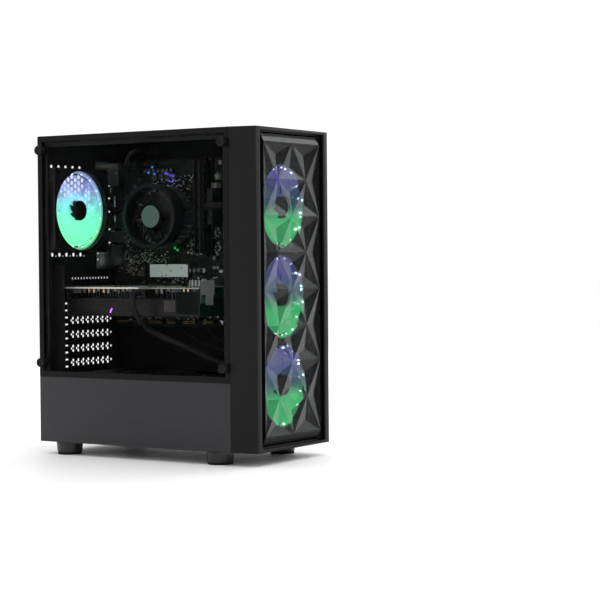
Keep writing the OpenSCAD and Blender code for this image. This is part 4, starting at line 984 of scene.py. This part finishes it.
def inner_trims():
    """A tan seal strip above the ports and the bright lips of the nearest port shells."""
    strip = case_block("port_seal_strip", (32, 181, 408), (64, 182.8, 411.5))
    fit(ease(strip, 0.0003), "port_metal", "tan strip")
    lips = [case_block("lip", (36, y, z), (37.2, y + wide, z + tall)) for y, z, wide, tall in (
        (150, 352, 1.4, 16), (150, 330, 1.4, 9), (152, 316, 12, 1.3), (146, 400, 3, 2.4), (152, 296, 9, 1.2),
        (158, 372, 1.2, 8))]
    fit(join("port_lips", [ease(lip, 0.0002) for lip in lips]), "port_metal", "bright lip")


def board_painted_glints():
    """Small glowing dots on the board that are no lamps but painted glints: blue and violet above the cooler, green
    below it.
    """
    for name, colour, size, spots in (
            ("blue", (0.06, 0.22, 0.7), 1.8, ((103, 410), (99, 400), (110, 402))),
            ("violet", (0.16, 0.08, 0.8), 1.8, ((79, 400), (75, 399.5), (70, 397), (65, 396), (72, 389), (66, 388))),
            ("green", (0.01, 0.5, 0.1), 1.9, ((63, 291), (58, 288)))):
        # Each dot glows with its colour as a painted glint.
        finish = coated(colour, 0.25, wear=0, dust=0, Emission_Color=(*colour, 1), Emission_Strength=0.7)
        finish.name = name + " painted glint dot"
        lens = lathe("lens", [(0, size * MM), (size * 0.5 * MM, size * 0.9 * MM), (size * 0.9 * MM, size * 0.5 * MM),
                (size * MM, 0), (0, 0)], steps=12)
        fit(copies(name + "_lamps", lens, off_face(spots, 8)), "fan_light", finish)


def rear_port_faces():
    """Sockets seen from behind: tongues inside the port shells and round audio jacks."""
    tongues = [case_block("tongue", (FACE_X - deep + 4.5, 167, z - 2), (FACE_X - 4.5, 182, z)) for deep, z in (
        (14, 408.5), (14, 393.5), (30, 374.5), (30, 354.5), (27, 334.5), (27, 324.5))]
    jacks = [lathe("jack", [(0.0018, 0), (0.0018, 0.012), (0.0042, 0.012), (0.0046, 0.0116), (0.0046, 0),
            (0.0018, 0)], at(x, 171.4, 290 - 9.6 * k), "Y", 24)
            for k in range(3) for x in (FACE_X - 22, FACE_X - 10)]
    fit(join("port_tongues", [ease(t, 0.0002) for t in tongues]), "socket_plastic", "ivory plastic")
    fit(join("audio_jacks", jacks), "socket_plastic", "socket plastic")


# ---- cooler
def cooler():
    paint("bare aluminium", "cooler_heatsink")
    low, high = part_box("cooler_fan_frame")
    depth = high.x - low.x
    base = (high.x, (low.y + high.y) / 2, (low.z + high.z) / 2)
    ring = lathe("cooler_ring", [(0.047, 0.0004), (0.047, depth - 0.0012), (0.0464, depth - 0.0003),
            (0.0455, depth), (0.0418, depth - 0.0006), (0.0404, depth - 0.003),
            (0.04, depth - 0.006), (0.04, 0), (0.0466, 0), (0.047, 0.0004)],
            base, "-X", 96)
    struts = []
    for turn in range(4):
        strut = block("strut", (0.01, -0.002, 0), (0.0405, 0.002, 0.0025))
        strut.data.transform(turned(TAU * turn / 4, "Z"))
        struts.append(ease(strut, 0.0004))
    mount = lathe("mount", [(0, 0.0024), (0.0135, 0.0024), (0.014, 0.0018), (0.014, 0), (0, 0)], steps=32)
    under = join("cooler_mount", [*struts, mount])
    under.data.transform(towards((-1, 0, 0), base))
    fit(join("cooler_ring", [ring, under]), "fan_black", "cooler ring", "cooler_fan_frame")
    dark_rotor("cooler_rotor", "cooler_fan", 0, 0.0165, 0.45, 0.78, 7)
    low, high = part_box("cooler_rotor")
    badge = lathe("cooler_hub_label", [(0, 0.0001), (0.0158, 0.0001), (0.016, -0.0002), (0.016, -0.0006),
            (0, -0.0006)],
            (low.x - 0.0001, (low.y + high.y) / 2, (low.z + high.z) / 2), "-X", 48)
    fit(badge, "dark_rotor", "hub label", body="cooler_fan")


# ---- graphics card
def card():
    refine(("card_shroud", 0.0012, 3, "card_plastic", "card plastic"),
           ("card_bracket", 0.0002, 1, "port_metal", "card bracket"))
    paint("dark fins", "card_heatsink")
    # The rear part of the edge takes the painted highlight, the front part the painted shade.
    for name, y0, y1 in (("card edge", 44, 179), ("card rim painted shade", CARD_FRONT + 1, 44)):
        edge = case_block(name.replace(" ", "_"), (CARD_EDGE - 0.3, y0, CARD_Z - 0.1),
                (CARD_EDGE + 0.2, y1, CARD_Z + 1.7))
        fit(ease(edge, 0.0001), "circuit_board", name)
    # Parts soldered under the board's edge, of one finish for each width
    draw = random.Random(5)
    rows = {3: [], 4: [], 6: [], 8: []}
    y = CARD_FRONT + 8
    while y < 170:
        if not 18 < y < 46:
            width, tall = draw.choice((3, 4, 6, 8)), draw.choice((2.5, 4, 6, 7))
            piece = case_block("under", (CARD_EDGE + 1.5, y, CARD_Z - tall), (CARD_EDGE + 8, y + width, CARD_Z))
            rows[6 if width == 8 else width].append(ease(piece, 0.0003))
        y += draw.choice((7, 9, 12))
    fit(join("card_gilded_parts", rows[3]), "port_metal", "gold pins")
    fit(join("card_pale_parts", rows[4]), "port_metal", "capacitor")
    fit(join("card_dark_parts", rows[6]), "circuit_board", "choke")
    # Small parts and a plate on the board's upper face
    grit = block("grit", (-0.0009, -0.0005, 0), (0.0009, 0.0005, 0.0007))
    spots = [at(draw.uniform(-40, 58), draw.uniform(-55, 170), CARD_Z + 1.6) for _ in range(260)]
    fit(copies("card_small_components", grit, spots), "circuit_board", "resistor")
    plate = case_block("card_core_plate", (-14, 56, CARD_Z + 1.6), (30, 100, CARD_Z + 3.2))
    fit(ease(sink(plate, facing_up, 0.006, 0.0008), 0.0004, 2), "screw_steel", "port metal")
    light = case_block("card_light_bar", (CARD_EDGE + 0.4, 93, 199.5), (CARD_EDGE + 1.2, 95, 206.5))
    pivot = at(0, 94, 203)
    light.data.transform(Matrix.Translation(pivot) @ turned(math.radians(28), "X")
            @ Matrix.Translation(-pivot))
    fit(ease(light, 0.0002), "fan_light", "violet light")
    step = case_block("card_side_plate", (CARD_EDGE - 0.2, -20, 202), (CARD_EDGE + 1, 0, 218))
    fit(ease(sink(step, facing_glass, 0.0015, 0.0003), 0.0003), "card_plastic", "pink grey")
    low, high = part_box("card_shroud")
    cover = block("card_end_cover", (low.x - 0.00005, low.y + 0.002, low.z + 0.004),
            (low.x + 0.0006, at(0, -21, 0).y, high.z - 0.004))
    fit(ease(cover, 0.0002), "card_plastic", "green black")
    for part, body in (("card_rotor_rear", "card_fan_a"), ("card_rotor_front", "card_fan_b")):
        dark_rotor(part, body, 2, 0.0155, 0.5, 0.5, 11)


# ---- cables, supply and drives
def tube(name, route, width, sides, steps):
    """A round cable through the route's points, with its map round it and along it."""
    route = [at(*p) for p in route]
    path = []
    for i in range(len(route) - 1):
        p0, p1, p2, p3 = route[max(i - 1, 0)], route[i], route[i + 1], route[min(i + 2, len(route) - 1)]
        for k in range(steps):
            t = k / steps
            path.append(0.5 * (2 * p1 + (p2 - p0) * t + (2 * p0 - 5 * p1 + 4 * p2 - p3) * t * t
                    + (3 * p1 - p0 - 3 * p2 + p3) * t ** 3))
    path.append(route[-1])
    up = Vector((0, 1, 0))
    points, faces, maps, run = [], [], [], 0
    for i, spot in enumerate(path):
        way = (path[min(i + 1, len(path) - 1)] - path[max(i - 1, 0)]).normalized()
        if i == 0:
            way = (route[1] - route[0]).normalized()
            up = Vector((0, 1, 0)) if abs(way.x) > 0.8 else Vector((1, 0, 0))
        elif i == len(path) - 1:
            way = (route[-1] - route[-2]).normalized()
        up = (up - way * up.dot(way)).normalized()
        side = way.cross(up)
        if i:
            run += (spot - path[i - 1]).length
        for k in range(sides):
            turn = TAU * k / sides
            points.append(spot + (up * math.cos(turn) + side * math.sin(turn)) * width / 2 * MM)
        maps.append(run)
    loops = []
    for i in range(len(path) - 1):
        for k in range(sides):
            other = (k + 1) % sides
            faces.append((i * sides + k, i * sides + other, (i + 1) * sides + other, (i + 1) * sides + k))
            loops += [(k / sides, maps[i]), ((k + 1) / sides, maps[i]), ((k + 1) / sides, maps[i + 1]),
                    (k / sides, maps[i + 1])]
    last = (len(path) - 1) * sides
    faces.append(tuple(range(sides - 1, -1, -1)))
    faces.append(tuple(last + k for k in range(sides)))
    loops += [(0.5, 0)] * (2 * sides)
    piece = add_mesh(name, points, faces=faces)
    layer = piece.data.uv_layers.new(name="UVMap")
    for index, uv in enumerate(loops):
        layer.data[index].uv = uv
    only(piece)
    smooth(50)
    return piece


MAIN_ROUTE = [(46, 43, 72), (46, 33, 72), (54, 18, 70), (70, 2, 66), (86, -20, 70), (88, -30, 96), (88, -37, 200),
        (88, -37, 290), (86.8, -37, 324), (76, -37, 341), (60.2, -38, 347), (45.2, -34, 350),
        (37.2, -24, 350), (39.2, -14, 350), (47.2, -12.5, 350)]
PROCESSOR_ROUTE = [(34.5, 43, 80), (34.5, 33, 80), (50, 24, 86), (76, 24, 84), (88.5, 34, 110), (89, 80, 240),
        (89, 112, 340), (89, 122, 410), (80, 122, 433), (64.2, 124, 436), (48.2, 128, 430),
        (38.2, 129, 419), (39.2, 129, 412), (47.2, 129, 411)]
CARD_ROUTE = [(-60, 33, 228.1), (-72, 33, 226.1), (-76, 31, 210.1), (-66, 26, 190.1), (-44, 18, 172.1),
        (-23.6, -23.4, 151.3), (-3.2, -64.8, 130.4), (13.8, -99.3, 120.4), (24, -120, 116), (25, -127, 106),
        (27, -112, 97), (32, -80, 95), (34, -40, 95), (32, -6, 92), (28, 22, 80), (26, 34, 72), (26, 43, 72)]
LEAD_ROUTES = [
    [(73.2, 62, 184), (64.2, 62, 184), (47.4, 22.8, 165), (32.6, -30, 149.5), (17.8, -82.8, 136),
     (6, -118, 121), (4, -118, 105), (4, -118, 99)],
    [(73.2, 20, 187), (64.2, 20, 187), (45.4, -10.8, 171.4), (27.6, -51, 157), (9.8, -91.2, 142.6),
     (-4, -118, 121), (-6, -118, 105), (-6, -118, 99)],
    [(73.2, -14, 188), (64.2, -14, 188), (43.4, -38, 174.2), (22.6, -68, 159.5), (1.8, -98, 148.8),
     (-14, -118, 121), (-16, -118, 105), (-16, -118, 99)]]


def cables():
    for name, route, width, sides, part in (
            ("main_cable", MAIN_ROUTE, 11, 24, ["board_power_cables"]), ("processor_cable", PROCESSOR_ROUTE, 7, 20, []),
            ("card_cable", CARD_ROUTE, 8, 20, ["card_power_cable"])):
        fit(tube(name, route, width, sides, 12), "cable_sleeve", "thick sleeve", *part)
    leads = [tube("lead", route, 3, 12, 10) for route in LEAD_ROUTES]
    fit(join("thin_leads_round", leads), "cable_sleeve", "thin lead", "thin_leads")
    plugs = [ease(case_block("power_plug", *ends), 0.0006, 2) for ends in (
        ((47, -17, 324), (FACE_X - 12, -8, 376)), ((47, 120, 406), (FACE_X - 12, 138, 416)),
        ((-60, CARD_FRONT + 85, CARD_Z - 12), (-49, CARD_FRONT + 103, CARD_Z - 1)))]
    fit(join("power_plugs", plugs), "socket_plastic", "socket plastic")


def supply_and_drives():
    paint("psu steel", "psu_case")
    refine(("psu_inlet", 0.0003, 1, "socket_plastic", "socket plastic"),
           ("psu_switch", 0.0004, 2, "socket_plastic", "button plastic", "mains_switch"),
           ("hard_drive", 0.0008, 2, "drive_metal", "drive metal"),
           ("fan_hub", 0.0008, 2, "black_plastic", "black plastic"),
           ("psu_filter", 0.0003, 1, "black_plastic", "black plastic", "dust_filter"))
    low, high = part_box("psu_filter")
    middle = (low.z + high.z) / 2
    net = block("filter_net", (low.x + 0.003, low.y + 0.003, middle - 0.0002),
            (high.x - 0.003, high.y - 0.003, middle + 0.0002))
    sink(net, lambda middle, normal: abs(normal.z) > 0.9, 0.004, 0.00005)
    fit(net, "black_plastic", "filter net", body="dust_filter")
    dark_rotor("psu_rotor", "psu_fan", 2, 0.0185, 0.5, 0.55, 9)
    paint("screw steel", "screws")


def studio_floor():
    deselect()
    bpy.ops.mesh.primitive_plane_add(size=30, location=(0, 0, 0))
    floor = settle("studio_floor")
    finish, tree, shader = start("white floor", Roughness=0.5, Specular_IOR_Level=0.3)
    grain = grained(tree, 0.002, 0.6)
    feed(shader, Base_Color=blend(grain["Cloud"], (0.92, 0.92, 0.925), (0.95, 0.95, 0.95)))
    floor.data.materials.append(finish)


for make in (aim_camera, light_room, studio_floor, finish_case, perforated_strips, thumbscrews, fans, board_parts,
        inner_trims, board_painted_glints, rear_port_faces, cooler, card, cables, supply_and_drives):
    make()
